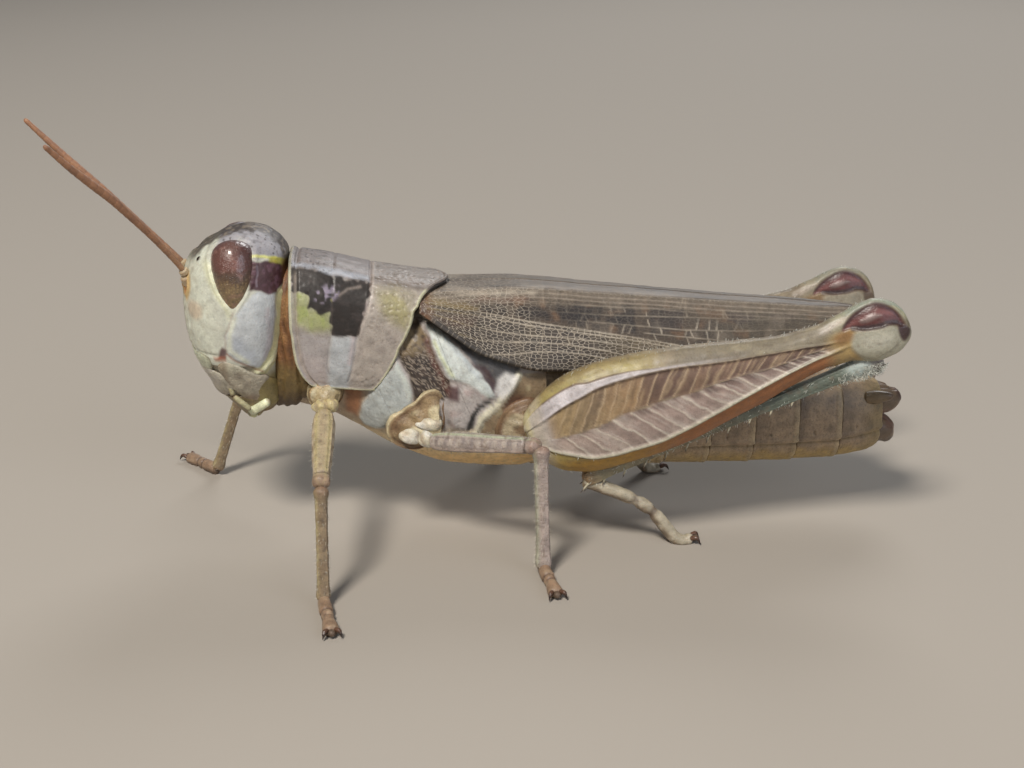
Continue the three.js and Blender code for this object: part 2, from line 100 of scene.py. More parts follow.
def bend(value, power):
    """The value's size raised to a power, with its sign kept: it squares a circle up."""
    return np.sign(value) * np.abs(value) ** power


def halves(high, low):
    """The middle between two levels, and half of what lies between them."""
    return (high + low) / 2, (high - low) / 2


def turns(count, start=0.0):
    """Even angles for one whole turn, in a row that spreads across a grid."""
    return np.linspace(start, start + 2 * np.pi, count, endpoint=False)[None, :]


def ease(low, high, value):
    """0 at low, 1 at high, with level ends. Low may be the larger of the two."""
    t = np.clip((value - low) / (high - low), 0, 1)
    return t * t * (3 - 2 * t)


def hump(value, width):
    """A bell: 1 where the value is 0, and 1/e at the width."""
    return np.exp(-(value / width) ** 2)


def outline_distance(x, z, corners, closed):
    """How far each point lies from a line of corners, less than 0 inside a closed one: the
    least distance to any edge, and a crossing count for the inside."""
    corners = np.array(corners, float)
    starts, ends = (corners, np.roll(corners, -1, 0)) if closed else (corners[:-1], corners[1:])
    least = np.full(np.shape(x), 1e9)
    inside = np.zeros(np.shape(x), bool)
    for (ax, az), (bx, bz) in zip(starts, ends):
        dx, dz = bx - ax, bz - az
        t = np.clip(((x - ax) * dx + (z - az) * dz) / (dx * dx + dz * dz), 0, 1)
        least = np.minimum(least, np.hypot(x - ax - t * dx, z - az - t * dz))
        inside ^= ((az > z) != (bz > z)) & (x < dx * (z - az) / (dz or 1e-9) + ax)
    return np.where(inside & closed, -least, least)


def softened(corners, closed=False):
    """A line of corners with each corner cut off, twice, at a quarter of its edges."""
    line = np.array(corners, float)
    for _ in range(2):
        after = np.roll(line, -1, 0) if closed else line[1:]
        before = line if closed else line[:-1]
        cut = np.stack([0.75 * before + 0.25 * after, 0.25 * before + 0.75 * after], 1).reshape(-1, 2)
        line = cut if closed else np.vstack([line[:1], cut, line[-1:]])
    return line


def patch(x, z, corners, soft=0.06):
    """1 inside an outline and 0 outside it, with an edge that is soft on both sides."""
    return ease(soft, -soft, outline_distance(x, z, corners, True))


def stroke(x, z, corners, width, soft=0.04):
    """1 along a line and 0 away from it."""
    return ease(width / 2 + soft, width / 2 - soft, outline_distance(x, z, corners, False))


def marks(x, z, where=1):
    """Two functions that draw in side view, where allowed: an area in an outline, and a line."""
    def area(corners, soft=0.06):
        return where * patch(x, z, corners, soft)

    def line(corners, width, soft=0.04):
        return where * stroke(x, z, corners, width, soft)
    return area, line


def scatter(cell, seed):
    """A repeatable random number from 0 to 1 for each whole-numbered lattice cell."""
    mixed = (cell[..., 0] * 73856093) ^ (cell[..., 1] * 19349663) ^ (cell[..., 2] * 83492791)
    mixed = (mixed + seed * 40503) & 0xFFFFFFFF
    mixed = ((mixed ^ (mixed >> 15)) * 2246822519) & 0xFFFFFFFF
    mixed = ((mixed ^ (mixed >> 13)) * 3266489917) & 0xFFFFFFFF
    return ((mixed >> 8) & 0xFFFF) / 65535


def grain(points, size, seed=0):
    """Smooth noise from -1 to 1: random numbers on a lattice of the given size, eased between."""
    at = np.asarray(points) / size
    cell = np.floor(at).astype(np.int64)
    t = at - cell
    t = t * t * (3 - 2 * t)
    total = 0
    for corner in np.ndindex(2, 2, 2):
        weight = np.prod(np.where(corner, t, 1 - t), axis=-1)
        total = total + weight * scatter(cell + np.array(corner), seed)
    return total * 2 - 1


def blotch(points, size, seed, low=0.0, high=0.6):
    """Soft blotches: the noise, eased from 0 where it is low to 1 where it is high."""
    return ease(low, high, grain(points, size, seed))


def pits(points, size, seed=0):
    """Round dots, one in each lattice cell: 1 at the middle of a dot, 0 between dots."""
    at = np.asarray(points) / size
    cell = np.floor(at).astype(np.int64)
    least = 9.0
    for step in np.ndindex(3, 3, 3):
        near = cell + np.array(step) - 1
        spot = near + 0.5 + 0.7 * (np.stack([scatter(near, seed + k) for k in (1, 2, 3)], -1) - 0.5)
        least = np.minimum(least, np.linalg.norm(at - spot, axis=-1))
    return ease(0.5, 0.1, least)


# ---- Surfaces ----
def normals(points, ring=True):
    """Outward normals of a grid: the cross product of its differences along and across."""
    along = np.gradient(points, axis=0)
    if ring:
        across = np.roll(points, -1, 1) - np.roll(points, 1, 1)
    else:
        across = np.gradient(points, axis=1)
    out = np.cross(along, across)
    out /= np.maximum(np.linalg.norm(out, axis=-1, keepdims=True), 1e-9)
    middle = points.mean(axis=1, keepdims=True)
    return out if np.sum(out * (points - middle)) > 0 else -out


def lifted(points, height, ring=True):
    """The surface moved along its normals by a height at each point."""
    return points + normals(points, ring) * np.asarray(height)[..., None]


def spread(low, high, count, ends=0.0):
    """Even steps, drawn closer together towards both ends as 'ends' goes from 0 to 1."""
    t = np.linspace(0, 1, count)
    return low + (high - low) * ((1 - ends) * t + ends * (0.5 - 0.5 * np.cos(np.pi * t)))


def route(joints, t):
    """A smooth path through joints at 0..1 of its length: a cardinal spline of the joints,
    with each tangent half the step between its neighbours."""
    joints = np.array(joints, float)
    if len(joints) == 2:
        return joints[0] + (joints[1] - joints[0]) * np.asarray(t)[..., None]
    padded = np.vstack([2 * joints[0] - joints[1], joints, 2 * joints[-1] - joints[-2]])
    u = np.linspace(0, len(joints) - 1, 400)
    i = np.minimum(u.astype(int), len(joints) - 2)
    s = (u - i)[:, None]
    a, b, c, d = (padded[i + k] for k in range(4))
    curve = 0.5 * (2 * b + (c - a) * s + (2 * a - 5 * b + 4 * c - d) * s ** 2
                   + (3 * b - a - 3 * c + d) * s ** 3)
    length = np.concatenate([[0], np.cumsum(np.linalg.norm(np.diff(curve, axis=0), axis=1))])
    return np.stack([np.interp(t, length / length[-1], curve[:, k]) for k in range(3)], -1)


def tube(joints, up, rise, drop, half, t, sides, square=2.1):
    """Rings across a path. At an angle a the ring lies bend(sin a) of its reach up or down
    and bend(cos a) of its half-thickness out, where out is the path's direction crossed
    with up. Returns the points, and the bent sine and cosine of each."""
    line = route(joints, t)
    along = np.gradient(line, axis=0)
    along /= np.linalg.norm(along, axis=1, keepdims=True)
    out = np.cross(along, up)
    out /= np.linalg.norm(out, axis=1, keepdims=True)
    high = np.cross(out, along)
    angle = turns(sides)
    lift = bend(np.sin(angle), 2 / square) + 0 * t[:, None]
    wide = bend(np.cos(angle), 2 / square) + 0 * t[:, None]
    reach = np.where(lift > 0, np.broadcast_to(rise, t.shape)[:, None],
                     np.broadcast_to(drop, t.shape)[:, None])
    points = (line[:, None] + high[:, None] * (lift * reach)[..., None]
              + out[:, None] * (wide * np.broadcast_to(half, t.shape)[:, None])[..., None])
    return points, lift, wide


def rod(joints, up, girth, t, sides):
    """A tube whose rings are round."""
    return tube(joints, up, girth, girth, girth, t, sides)[0]


def floored(points):
    """The same points, with none below the floor."""
    points[..., 2] = np.maximum(points[..., 2], 0)
    return points


def polar_outline(outline, count):
    """An outline as seen from its own middle: the middle, even angles round it, and how far
    out the outline lies at each, smoothed over five neighbours."""
    outline = np.array(outline, float)
    middle = outline.mean(0)
    away = (outline - middle).T
    turn = np.arctan2(away[1], away[0])
    order = np.argsort(turn)
    turn, reach = turn[order], np.hypot(*away)[order]
    around = np.linspace(-np.pi, np.pi, count, endpoint=False)
    wrapped = np.concatenate([turn - 2 * np.pi, turn, turn + 2 * np.pi])
    radius = np.interp(around, wrapped, np.tile(reach, 3))
    return middle, around, sum(np.roll(radius, k) for k in range(-2, 3)) / 5


def rounded(t, length, radius, start=True, end=True):
    """A factor that closes a tube's ends as a quarter round of the given radius."""
    near = np.minimum(t if start else 1, 1 - t if end else 1) * length
    return np.sqrt(np.clip(1 - np.clip(1 - near / radius, 0, 1) ** 2, 0.0004, 1))


class Coat:
    """The colour of each point of a grid, laid on in layers, and its roughness."""

    def __init__(self, points, base, rough=0.5):
        self.points = points
        self.colour = np.zeros(points.shape[:2] + (3,)) + linear(base)
        self.rough = np.zeros(points.shape[:2]) + rough

    def lay(self, colour, mask, rough=None):
        """Brings the colour in where the mask is 1, and the roughness if one is given."""
        mask = np.broadcast_to(np.clip(mask, 0, 1), self.rough.shape)
        self.colour += (linear(colour) - self.colour) * mask[..., None]
        if rough is not None:
            self.rough += (rough - self.rough) * mask
        return self


def make_mesh(name, points, quads, tris):
    """A mesh in the row's frame, in metres, from body points in millimetres. Returns the mesh
    and the points its corners use, in order."""
    points = (points + BODY_TO_ROW) / MM
    loops = np.concatenate([quads.ravel(), tris.ravel()])
    starts = np.concatenate([np.arange(quads.size // 4) * 4,
                             quads.size + np.arange(tris.size // 3) * 3])
    mesh = bpy.data.meshes.new(name)
    mesh.vertices.add(len(points))
    mesh.vertices.foreach_set("co", points.astype(np.float32).ravel())
    mesh.loops.add(len(loops))
    mesh.loops.foreach_set("vertex_index", loops.astype(np.int32))
    mesh.polygons.add(len(starts))
    mesh.polygons.foreach_set("loop_start", starts.astype(np.int32))
    mesh.update(calc_edges=True)
    return mesh, loops


def keep_values(mesh, name, kind, field, values):
    """Stores a value for each point of a mesh, for its material to read."""
    stored = mesh.attributes.new(name, kind, "POINT").data
    stored.foreach_set(field, values.astype(np.float32).ravel())


def place_piece(mesh, material, wall=0.0):
    """Stands a mesh in the scene as a piece of the root body. A wall, in millimetres, makes a
    sheet solid, inwards."""
    mesh.materials.append(material)
    piece = bpy.data.objects.new(mesh.name, mesh)
    bpy.context.scene.collection.objects.link(piece)
    if wall:
        solid = piece.modifiers.new("Wall", "SOLIDIFY")
        solid.thickness = wall / MM
        solid.offset = -1
    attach(piece, "root")
    return piece


class Form:
    """One piece in the making: closed grids with their coats, joined in one mesh."""

    def __init__(self):
        self.points, self.colours, self.rough, self.lay = [], [], [], []
        self.quads, self.tris, self.size = [], [], 0

    def add(self, coat, points=None, lay=None, closed=True):
        """A ring grid with both ends closed by a fan, or an open sheet. Its faces are turned
        outwards: a closed grid by the sign of its volume, a sheet by its normals."""
        points = coat.points if points is None else points
        rows, cols = points.shape[:2]
        lay = np.zeros_like(points) if lay is None else lay
        at = np.arange(rows * cols).reshape(rows, cols)
        if closed:
            right = np.roll(at, -1, 1)
            quads = np.stack([at[:-1], right[:-1], right[1:], at[1:]], -1).reshape(-1, 4)
            first, last = rows * cols, rows * cols + 1
            tris = np.concatenate([
                np.stack([np.full(cols, first), right[0], at[0]], -1),
                np.stack([np.full(cols, last), at[-1], right[-1]], -1)])
        else:
            quads = np.stack([at[:-1, :-1], at[:-1, 1:], at[1:, 1:], at[1:, :-1]], -1)
            quads = quads.reshape(-1, 4)
            tris = np.zeros((0, 3), int)
        flat = [grid.reshape(rows * cols, -1) for grid in (points, coat.colour, coat.rough, lay)]
        if closed:
            grids = (points, coat.colour, coat.rough[..., None], lay)
            flat = [np.vstack([f, g[0].mean(0), g[-1].mean(0)]) for f, g in zip(flat, grids)]
            p = flat[0]
            corners = np.concatenate([quads[:, [0, 1, 2]], quads[:, [0, 2, 3]], tris])
            a, b, c = (p[corners[:, k]] - p.mean(0) for k in range(3))
            outward = np.sum(a * np.cross(b, c)) > 0
        else:
            p = flat[0]
            a, b, c = (p[quads[:, k]] for k in range(3))
            face = np.cross(b - a, c - a)
            outward = np.sum(face * (a - p.mean(0))) > 0
        if not outward:
            quads, tris = quads[:, ::-1], tris[:, ::-1]
        for store, values in zip((self.points, self.colours, self.rough, self.lay), flat):
            store.append(values)
        self.quads.append(quads + self.size)
        self.tris.append(tris + self.size)
        self.size += len(flat[0])
        return self

    def finish(self, name, material, slot, *nodes, wall=0.0):
        """Makes the piece, with its colour, roughness and lay kept in its mesh, and hides the solids of the
        nodes that it stands for."""
        mesh, _ = make_mesh(name, np.concatenate(self.points), np.concatenate(self.quads),
                            np.concatenate(self.tris))
        mesh.validate()
        mesh.polygons.foreach_set("use_smooth", np.ones(len(mesh.polygons), bool))
        colour = np.concatenate(self.colours)
        colour = np.hstack([np.clip(colour, 0, 1), np.ones((len(colour), 1))])
        keep_values(mesh, "tint", "FLOAT_COLOR", "color", colour)
        keep_values(mesh, "rough", "FLOAT", "value", np.concatenate(self.rough))
        keep_values(mesh, "lay", "FLOAT_VECTOR", "vector", np.concatenate(self.lay))
        piece = place_piece(mesh, material, wall)
        if nodes:
            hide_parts(*nodes)
        return piece


# ---- Materials ----
def add_node(tree, kind, settings=None, links=None, **fields):
    """Adds a node, sets its fields and its input values, and links its inputs."""
    made = tree.nodes.new(kind)
    for field, value in fields.items():
        setattr(made, field, value)
    for socket, value in (settings or {}).items():
        made.inputs[socket].default_value = value
    for socket, source in (links or {}).items():
        tree.links.new(source, made.inputs[socket])
    return made


def blank_material(name):
    """A new material with an empty node tree, and the tree."""
    material = bpy.data.materials.new(name)
    material.use_nodes = True
    material.node_tree.nodes.clear()
    return material, material.node_tree


def read(tree, name, output):
    """What the mesh keeps under a name."""
    return add_node(tree, "ShaderNodeAttribute", attribute_name=name).outputs[output]


def stretched(tree, place, scale):
    """A place multiplied by a scale along each axis."""
    return add_node(tree, "ShaderNodeMapping", {"Scale": scale}, {"Vector": place}).outputs["Vector"]


def placed_in_mm(tree):
    """The place on the piece, in millimetres."""
    return stretched(tree, add_node(tree, "ShaderNodeTexCoord").outputs["Object"], (MM, MM, MM))


def remapped(tree, value, low, high, to_low, to_high):
    """A value brought from the range low..high to another, and held at its ends."""
    return add_node(tree, "ShaderNodeMapRange",
                    {"From Min": low, "From Max": high, "To Min": to_low, "To Max": to_high},
                    {"Value": value}).outputs["Result"]


def multiplied(tree, colour, factor):
    """A colour multiplied by a grey."""
    return add_node(tree, "ShaderNodeMix", data_type="RGBA", blend_type="MULTIPLY",
                    settings={0: 1.0}, links={6: colour, 7: factor}).outputs[2]


def plus_product(tree, value, factor, added):
    """A value times a factor, plus another value."""
    return add_node(tree, "ShaderNodeMath", operation="MULTIPLY_ADD", settings={1: factor},
                    links={0: value, 2: added}).outputs["Value"]


def mottling(tree, place, tint, scale, roughness, dark, light):
    """Cloudy noise, and the tint made darker and lighter by it."""
    cloud = add_node(tree, "ShaderNodeTexNoise",
                     {"Scale": scale, "Detail": 5.0, "Roughness": roughness},
                     {"Vector": place}).outputs["Fac"]
    return cloud, multiplied(tree, tint, remapped(tree, cloud, 0.3, 0.7, dark, light))


def bumped(tree, height, depth_mm, normal=None):
    """A normal tilted by a height, over another normal if one is given."""
    links = {"Height": height}
    if normal:
        links["Normal"] = normal
    return add_node(tree, "ShaderNodeBump", {"Strength": 1.0, "Distance": depth_mm / MM},
                    links).outputs["Normal"]


def end_tree(tree, settings, links):
    """Ends a tree with the shader of a waxy or clear skin."""
    shader = add_node(tree, "ShaderNodeBsdfPrincipled", settings, links)
    add_node(tree, "ShaderNodeOutputMaterial", links={"Surface": shader.outputs["BSDF"]})


def cuticle(name, mottle=0.35, mottle_mm=0.35, fleck=0.25, fleck_mm=0.09, pit_mm=0.12,
            pit_depth=0.012, grit_mm=0.035, grit_depth=0.003, coat=0.15, coat_rough=0.3,
            glow=0.12, specular=0.5):
    """Insect cuticle: a tint from the coat, broken by mottling and dark flecks, over fine pits
    and grit, with a waxy coat. Sizes are in millimetres on the real surface."""
    material, tree = blank_material(name)
    in_mm, tint, rough = placed_in_mm(tree), read(tree, "tint", "Color"), read(tree, "rough", "Fac")
    cloud, mottled = mottling(tree, in_mm, tint, 1 / mottle_mm, 0.62, 1 - mottle, 1 + mottle)
    cells = add_node(tree, "ShaderNodeTexVoronoi", {"Scale": 1 / fleck_mm, "Randomness": 1.0},
                     {"Vector": in_mm})
    dots = remapped(tree, cells.outputs["Distance"], 0.34, 0.16, 0.0, fleck)
    flecked = add_node(tree, "ShaderNodeMix", data_type="RGBA", blend_type="MULTIPLY",
                       settings={7: (0.25, 0.2, 0.17, 1)}, links={0: dots, 6: mottled})
    uneven = plus_product(tree, cloud, 0.3, rough)
    dips = add_node(tree, "ShaderNodeTexVoronoi", {"Scale": 1 / pit_mm}, {"Vector": in_mm})
    pitted = bumped(tree, remapped(tree, dips.outputs["Distance"], 0.1, 0.5, 0.0, 1.0), pit_depth)
    grit = add_node(tree, "ShaderNodeTexNoise", {"Scale": 1 / grit_mm, "Detail": 3.0},
                    {"Vector": in_mm})
    gritty = bumped(tree, grit.outputs["Fac"], grit_depth, pitted)
    end_tree(tree, {
        "IOR": 1.56, "Specular IOR Level": specular, "Subsurface Weight": glow,
        "Subsurface Radius": (1.0, 0.7, 0.5), "Subsurface Scale": 0.0003,
        "Coat Weight": coat, "Coat Roughness": coat_rough,
    }, {"Base Color": flecked.outputs[2], "Roughness": uneven, "Normal": gritty})
    return material


# ---- Head ----
face_line = through([4.85, 1.75], [5.14, 1.5], [5.7, 1.02], [6.0, 0.7], [6.48, 0.5], [6.82, 0.3],
                    [7.28, 0.05], [7.6, -0.08], [8.7, -0.27], [9.6, -0.3], [10.6, -0.24],
                    [11.2, -0.04], [11.7, 0.4], [12.1, 1.05], [12.36, 2.0])
nape_line = through([4.85, 2.7], [5.6, 3.25], [7.3, 3.35], [8.9, 3.6], [10.4, 3.74],
                    [11.4, 3.72], [11.9, 3.45], [12.2, 3.0], [12.36, 2.45])
cheek_line = through([4.85, 0.75], [5.6, 1.35], [6.6, 1.9], [7.8, 2.3], [9.2, 2.42],
                     [10.6, 2.22], [11.5, 1.92], [12.05, 1.3], [12.36, 0.4])
HEAD_BEND = 0.86  # the power that squares the head's rings up a little
ANTENNA_ROOT = np.array([-0.02, 0.78, 10.3])
# Where a feeler's first joint ends and its whip starts, and how many joints the whip has.
FIRST_JOINT, WHIP_START, WHIP_JOINTS = 0.48, 0.75, 24
# Each feeler's tip, and how far it stands above the straight line to it along its length.
ANTENNAE = {
    "left": ((-4.2, -4.6, 16.41), through([0, 0], [0.06, 0.3], [0.12, 0.38], [0.33, 0.46],
                                          [0.52, 0.43], [0.7, 0.24], [0.85, 0.08], [1, 0])),
    "right": ((-6.1, 1.0, 16.44), through([0, 0], [0.25, 0.03], [0.5, 0.03], [0.75, -0.02], [1, 0])),
}


def head_surface(angle, z):
    """Level rings: the angle is 0 at the face and pi at the nape, positive to the right."""
    middle, half = halves(nape_line(z), face_line(z))
    return np.stack([middle - half * bend(np.cos(angle), HEAD_BEND), cheek_line(z)
                     * bend(np.sin(angle), HEAD_BEND), z + 0 * angle], -1)


def head_angle(x, z):
    """The ring angle whose surface point lies at x: the face ring's formula turned round."""
    middle, half = halves(nape_line(z), face_line(z))
    return np.arccos(np.clip(bend((middle - x) / half, 1 / HEAD_BEND), -1, 1))


def turned(a, b, angle):
    """Two coordinates turned by an angle in their own plane."""
    c, s = math.cos(angle), math.sin(angle)
    return a * c - b * s, b * c + a * s


def eye_local(points, side):
    """Points in an eye's own frame, in units of its half-axes."""
    x, y, z = np.moveaxis(points - EYE_CENTRE * [1, side, 1], -1, 0)
    y, z = turned(y, z, -side * EYE_ROLL)
    x, z = turned(x, z, EYE_LEAN)
    return np.stack([x / EYE_WIDE, y / EYE_OUT, z / EYE_LONG], -1)


# The eye is broad and blunt above and comes to a rounded point below.
eye_taper = through([-1, 0.45], [-0.5, 0.76], [0, 0.95], [0.4, 1.1], [0.75, 1.3], [1, 1.45])


def build_eye(settings, name, side):
    """An ellipsoid whose girth is scaled by the taper from its top pole to its lower one, with
    a fine unevenness so that its highlight breaks up over the facets."""
    rows, cols = 130, 160
    polar = np.linspace(0.012, np.pi - 0.012, rows)[:, None]
    turn = turns(cols)
    girth = np.sin(polar) * eye_taper(np.cos(polar))
    x = EYE_WIDE * girth * np.cos(turn)
    y = EYE_OUT * girth * np.sin(turn)
    z = EYE_LONG * np.cos(polar) + 0 * turn
    x, z = turned(x, z, -EYE_LEAN)
    y, z = turned(y, z, side * EYE_ROLL)
    points = np.stack([x, y, z], -1) + EYE_CENTRE * [1, side, 1]
    mirrored = points * [1, side, 1]
    px, pz = points[..., 0], points[..., 2]
    wobble = 0.16 * grain(mirrored, 0.3, 5)
    coat = Coat(points, settings.eye_colour, 0.2)
    coat.lay("#604038", ease(10.75, 11.3, pz + wobble))
    coat.lay("#70463e", hump(pz - 11.5, 0.35) * hump(px - 1.9, 0.6) * 0.7)
    coat.lay("#4c2f2b", ease(2.0, 2.5, px + wobble + 0.3 * (pz - 11)) * ease(10.4, 11.0, pz) * 0.9)
    coat.lay("#4a3a30", ease(11.2, 10.9, pz + wobble) * ease(10.6, 10.9, pz + wobble) * 0.7)
    coat.lay("#7d6a48", ease(10.9, 10.3, pz + wobble) * ease(2.5, 2.0, px) * 0.6)
    coat.lay("#75625e", ease(1.35, 1.0, px - 0.25 * (10.5 - pz)) * ease(11.8, 11.4, pz) * 0.5)
    # Light specks on the lower half: painted glints where the facets catch the light.
    coat.lay("#9c8458", 0.6 * pits(mirrored, 0.11, 9) * ease(11.0, 10.6, pz + wobble))
    coat.lay("#2e1f1a", 0.5 * pits(mirrored, 0.13, 10) * ease(11.6, 10.8, pz))
    coat.lay("#9a7468", 0.3 * blotch(mirrored, 0.16, 11, 0.2, 0.7))
    height = 0.006 * grain(mirrored, 0.11, 12) + 0.004 * grain(mirrored, 0.06, 13)
    form = Form().add(coat, lifted(points, height))
    return form.finish(f"{name}_compound_eye", finish_named("eye"), "compound_eye", f"eye_{name}")


def build_head():
    """The capsule: rings from the lips to the crown, with ridges, grooves and pits as heights
    along the normals, and the cuticle's markings in side-view coordinates."""
    rows, cols = 210, 300
    z = 4.86 + 7.5 * np.sin(np.linspace(0.02, 1, rows) * np.pi / 2)[:, None]
    angle = turns(cols, -np.pi)
    points = head_surface(angle + 0 * z, z + 0 * angle)
    x, y, z = np.moveaxis(points, -1, 0)
    flank = np.abs(y)
    mirrored = np.stack([x, flank, z], -1)
    wobble = 0.05 * grain(mirrored, 0.3, 1)
    wx, wz = x + wobble, z + 0.05 * grain(mirrored, 0.3, 2)
    local = eye_local(mirrored, 1)
    eye_ratio = np.linalg.norm(local / np.stack(
        [eye_taper(np.clip(local[..., 2], -1, 1))] * 2 + [np.ones_like(x)], -1), axis=-1)
    socket = np.linalg.norm(mirrored - ANTENNA_ROOT, axis=-1)
    front = ease(1.2, 0.4, x)
    side_on = ease(0.9, 1.4, flank)
    on_face = front * ease(7.5, 7.8, z)
    area, _ = marks(wx, wz, side_on)
    _, line = marks(wx, z, side_on)
    plate, edge = marks(x, z, side_on)

    height = 0.05 * hump(eye_ratio - 1.1, 0.07) - 0.3 * ease(0.98, 0.8, eye_ratio)
    height += 0.07 * hump(socket - 0.42, 0.07) - 0.14 * ease(0.38, 0.3, socket)
    costa = through([7.5, 0.42], [9.0, 0.36], [10.2, 0.4], [11.2, 0.26], [12.0, 0.2])(z)
    height += on_face * ease(11.9, 11.2, z) * (0.09 * hump(flank - costa, 0.08)
                                              + 0.05 * ease(costa + 0.05, costa - 0.05, flank))
    height -= on_face * 0.05 * hump(y, 0.16) * hump(z - 10.0, 1.1)
    cheek_ridge = through([7.5, 1.35], [8.5, 1.2], [9.7, 1.05], [10.3, 1.1])(z)
    height += 0.05 * front * hump(flank - cheek_ridge, 0.07) * ease(7.4, 7.8, z) * ease(10.2, 9.8, z)
    groove = [(1.72, 9.6), (1.5, 9.1), (1.36, 8.6), (1.3, 8.2), (1.34, 7.95), (1.6, 7.7),
              (2.2, 7.32), (2.62, 7.1)]
    height -= 0.05 * line(groove, 0.04, 0.09)
    rear_rim = [(3.5, 10.1), (3.42, 9.4), (3.33, 8.7), (3.2, 8.0), (3.0, 7.45), (2.65, 7.12), (2.3, 7.05)]
    height += 0.07 * edge(rear_rim, 0.16, 0.07)
    height -= 0.03 * side_on * stroke(x + 0.2, z, rear_rim, 0.03, 0.06)
    gena = [(2.25, 10.05), (2.6, 10.3), (3.2, 10.18), (3.26, 9.0), (3.02, 7.97), (2.6, 7.28),
            (2.22, 7.34), (1.42, 7.92), (1.39, 8.64), (1.66, 9.43)]
    height += 0.05 * plate(gena, 0.22)
    height -= 0.05 * ease(1.3, 0.9, x) * hump(z - 7.84, 0.06)
    fastigium = hump(x - 0.45, 0.5) * hump(z - 11.75, 0.4)
    height -= 0.07 * fastigium * ease(0.5, 0.25, flank)
    height += 0.05 * fastigium * hump(flank - 0.5, 0.09)
    height += 0.02 * hump(y, 0.05) * ease(11.6, 12.0, z)
    lateral_ocellus = np.linalg.norm(mirrored - [0.42, 1.2, 11.4], axis=-1)
    height += 0.07 * ease(0.16, 0.0, lateral_ocellus)
    median_ocellus = np.linalg.norm(mirrored - [-0.27, 0, 9.75], axis=-1)
    height += 0.05 * ease(0.15, 0.0, median_ocellus)
    height += 0.1 * hump(x - 2.0, 1.2) * ease(12.0, 12.2, z)
    height += 0.01 * grain(mirrored, 0.45, 3) + 0.003 * grain(mirrored, 0.11, 4)
    height -= 0.012 * pits(mirrored, 0.2, 6) * ease(1.3, 1.1, eye_ratio) * (0.3 + 0.7 * (z > 10))
    inside_mouth = ease(7.42, 7.3, z) * ease(2.45, 2.25, x)
    height -= 0.08 * inside_mouth

    coat = Coat(points, "#bfc0b2", 0.42)
    coat.lay("#c9ccbd", front * ease(0.4, 0.9, flank) * 0.9)
    coat.lay("#a9a998", front * ease(0.5, 0.3, flank) * 0.5)
    coat.lay("#a29d8a", 0.4 * front * blotch(mirrored, 0.25, 7, 0.1))
    coat.lay("#cfd0b4", ease(1.42, 1.15, eye_ratio) * ease(1.9, 1.3, x) * ease(11.6, 11.2, z))
    panel = patch(wx, wz, [(1.1, 11.9), (1.3, 12.4), (2.2, 12.8), (3.8, 12.4), (3.8, 11.3), (3.1, 11.52),
                           (2.5, 11.56), (2.35, 11.9), (2.0, 12.1)], 0.1)
    coat.lay("#939196", panel)
    coat.lay("#45403e", panel * 0.8 * ease(0.35, 0.75, pits(mirrored, 0.16, 16))
             * blotch(mirrored, 0.4, 17, -0.3, 0.2))
    coat.lay("#b9bdbf", area(gena, 0.08))
    coat.lay("#9da3ac", side_on * 0.7 * patch(wx, wz, gena, 0.2) * blotch(mirrored, 0.6, 8, -0.2))
    # A cream line beside the groove below the eye: partly its own cream colour, partly a painted highlight on
    # the groove's rim.
    coat.lay("#cfd0b6", side_on * 0.7 * stroke(x, z, [(1.75, 9.4), (1.5, 8.7), (1.5, 8.1), (2.1, 7.6)],
                                               0.16, 0.12))
    coat.lay("#b1a3a8", side_on * 0.6 * stroke(wx, z, [(2.95, 9.6), (2.95, 8.6), (2.75, 7.7)], 0.1, 0.12))
    coat.lay("#c8c69c", line(rear_rim, 0.4, 0.06))
    coat.lay("#dadcc0", edge(rear_rim[2:], 0.1, 0.06) * 0.7)
    coat.lay("#9a8278", line(groove[:5], 0.05, 0.06) * 0.6)
    coat.lay("#8a4f38", line(groove[4:], 0.06, 0.05) * 0.8)
    coat.lay("#4a2228", area([(1.2, 8.25), (1.34, 8.1), (1.3, 7.72), (0.95, 7.68)], 0.06) * 0.9)
    coat.lay("#9c5a3c", patch(wx, wz, [(0.8, 7.8), (1.3, 7.85), (1.3, 7.62), (0.9, 7.6)], 0.06) * 0.6)
    behind_eye = patch(wx, wz, [(2.3, 11.55), (2.6, 11.42), (3.3, 11.38), (3.68, 11.05), (3.62, 10.6),
                                (3.3, 10.1), (2.7, 10.3), (2.3, 10.4)], 0.06)
    coat.lay("#44252a", behind_eye)
    coat.lay("#6a4a58", behind_eye * blotch(mirrored, 0.17, 12) * 0.6)
    coat.lay("#8a7f8a", behind_eye * side_on * stroke(wx, wz, [(2.62, 11.3), (2.66, 10.9), (2.6, 10.5)],
                                                      0.06, 0.04) * 0.7)
    coat.lay("#c6c67c", stroke(wx, z, [(2.4, 11.62), (2.9, 11.58), (3.3, 11.45), (3.7, 11.2)], 0.09, 0.04))
    coat.lay("#b4ab3e", stroke(wx, z, [(3.2, 11.42), (3.5, 11.28), (3.72, 11.1)], 0.2, 0.05) * 0.85)
    coat.lay("#6f4a2a", ease(3.56, 3.7, x + 0.06 * (z - 9)) * ease(11.6, 11.0, z) * 0.9)
    coat.lay("#44291a", ease(3.64, 3.78, x + 0.06 * (z - 9)) * ease(11.6, 11.0, z) * 0.8)
    crown = ease(11.0, 11.5, z) * ease(1.0, 0.55, flank + 0.25 * grain(mirrored, 0.2, 13))
    coat.lay("#33281f", crown * 0.9)
    coat.lay("#7a6f62", crown * blotch(mirrored, 0.13, 14, 0.1, 0.55) * 0.75)
    coat.lay("#3a2f28", side_on * 0.5 * ease(11.2, 11.6, z) * blotch(mirrored, 0.12, 15, 0.5, 0.8))
    coat.lay("#c0a472", ease(0.75, 0.5, socket))
    coat.lay("#9b6a3c", ease(0.46, 0.36, socket))
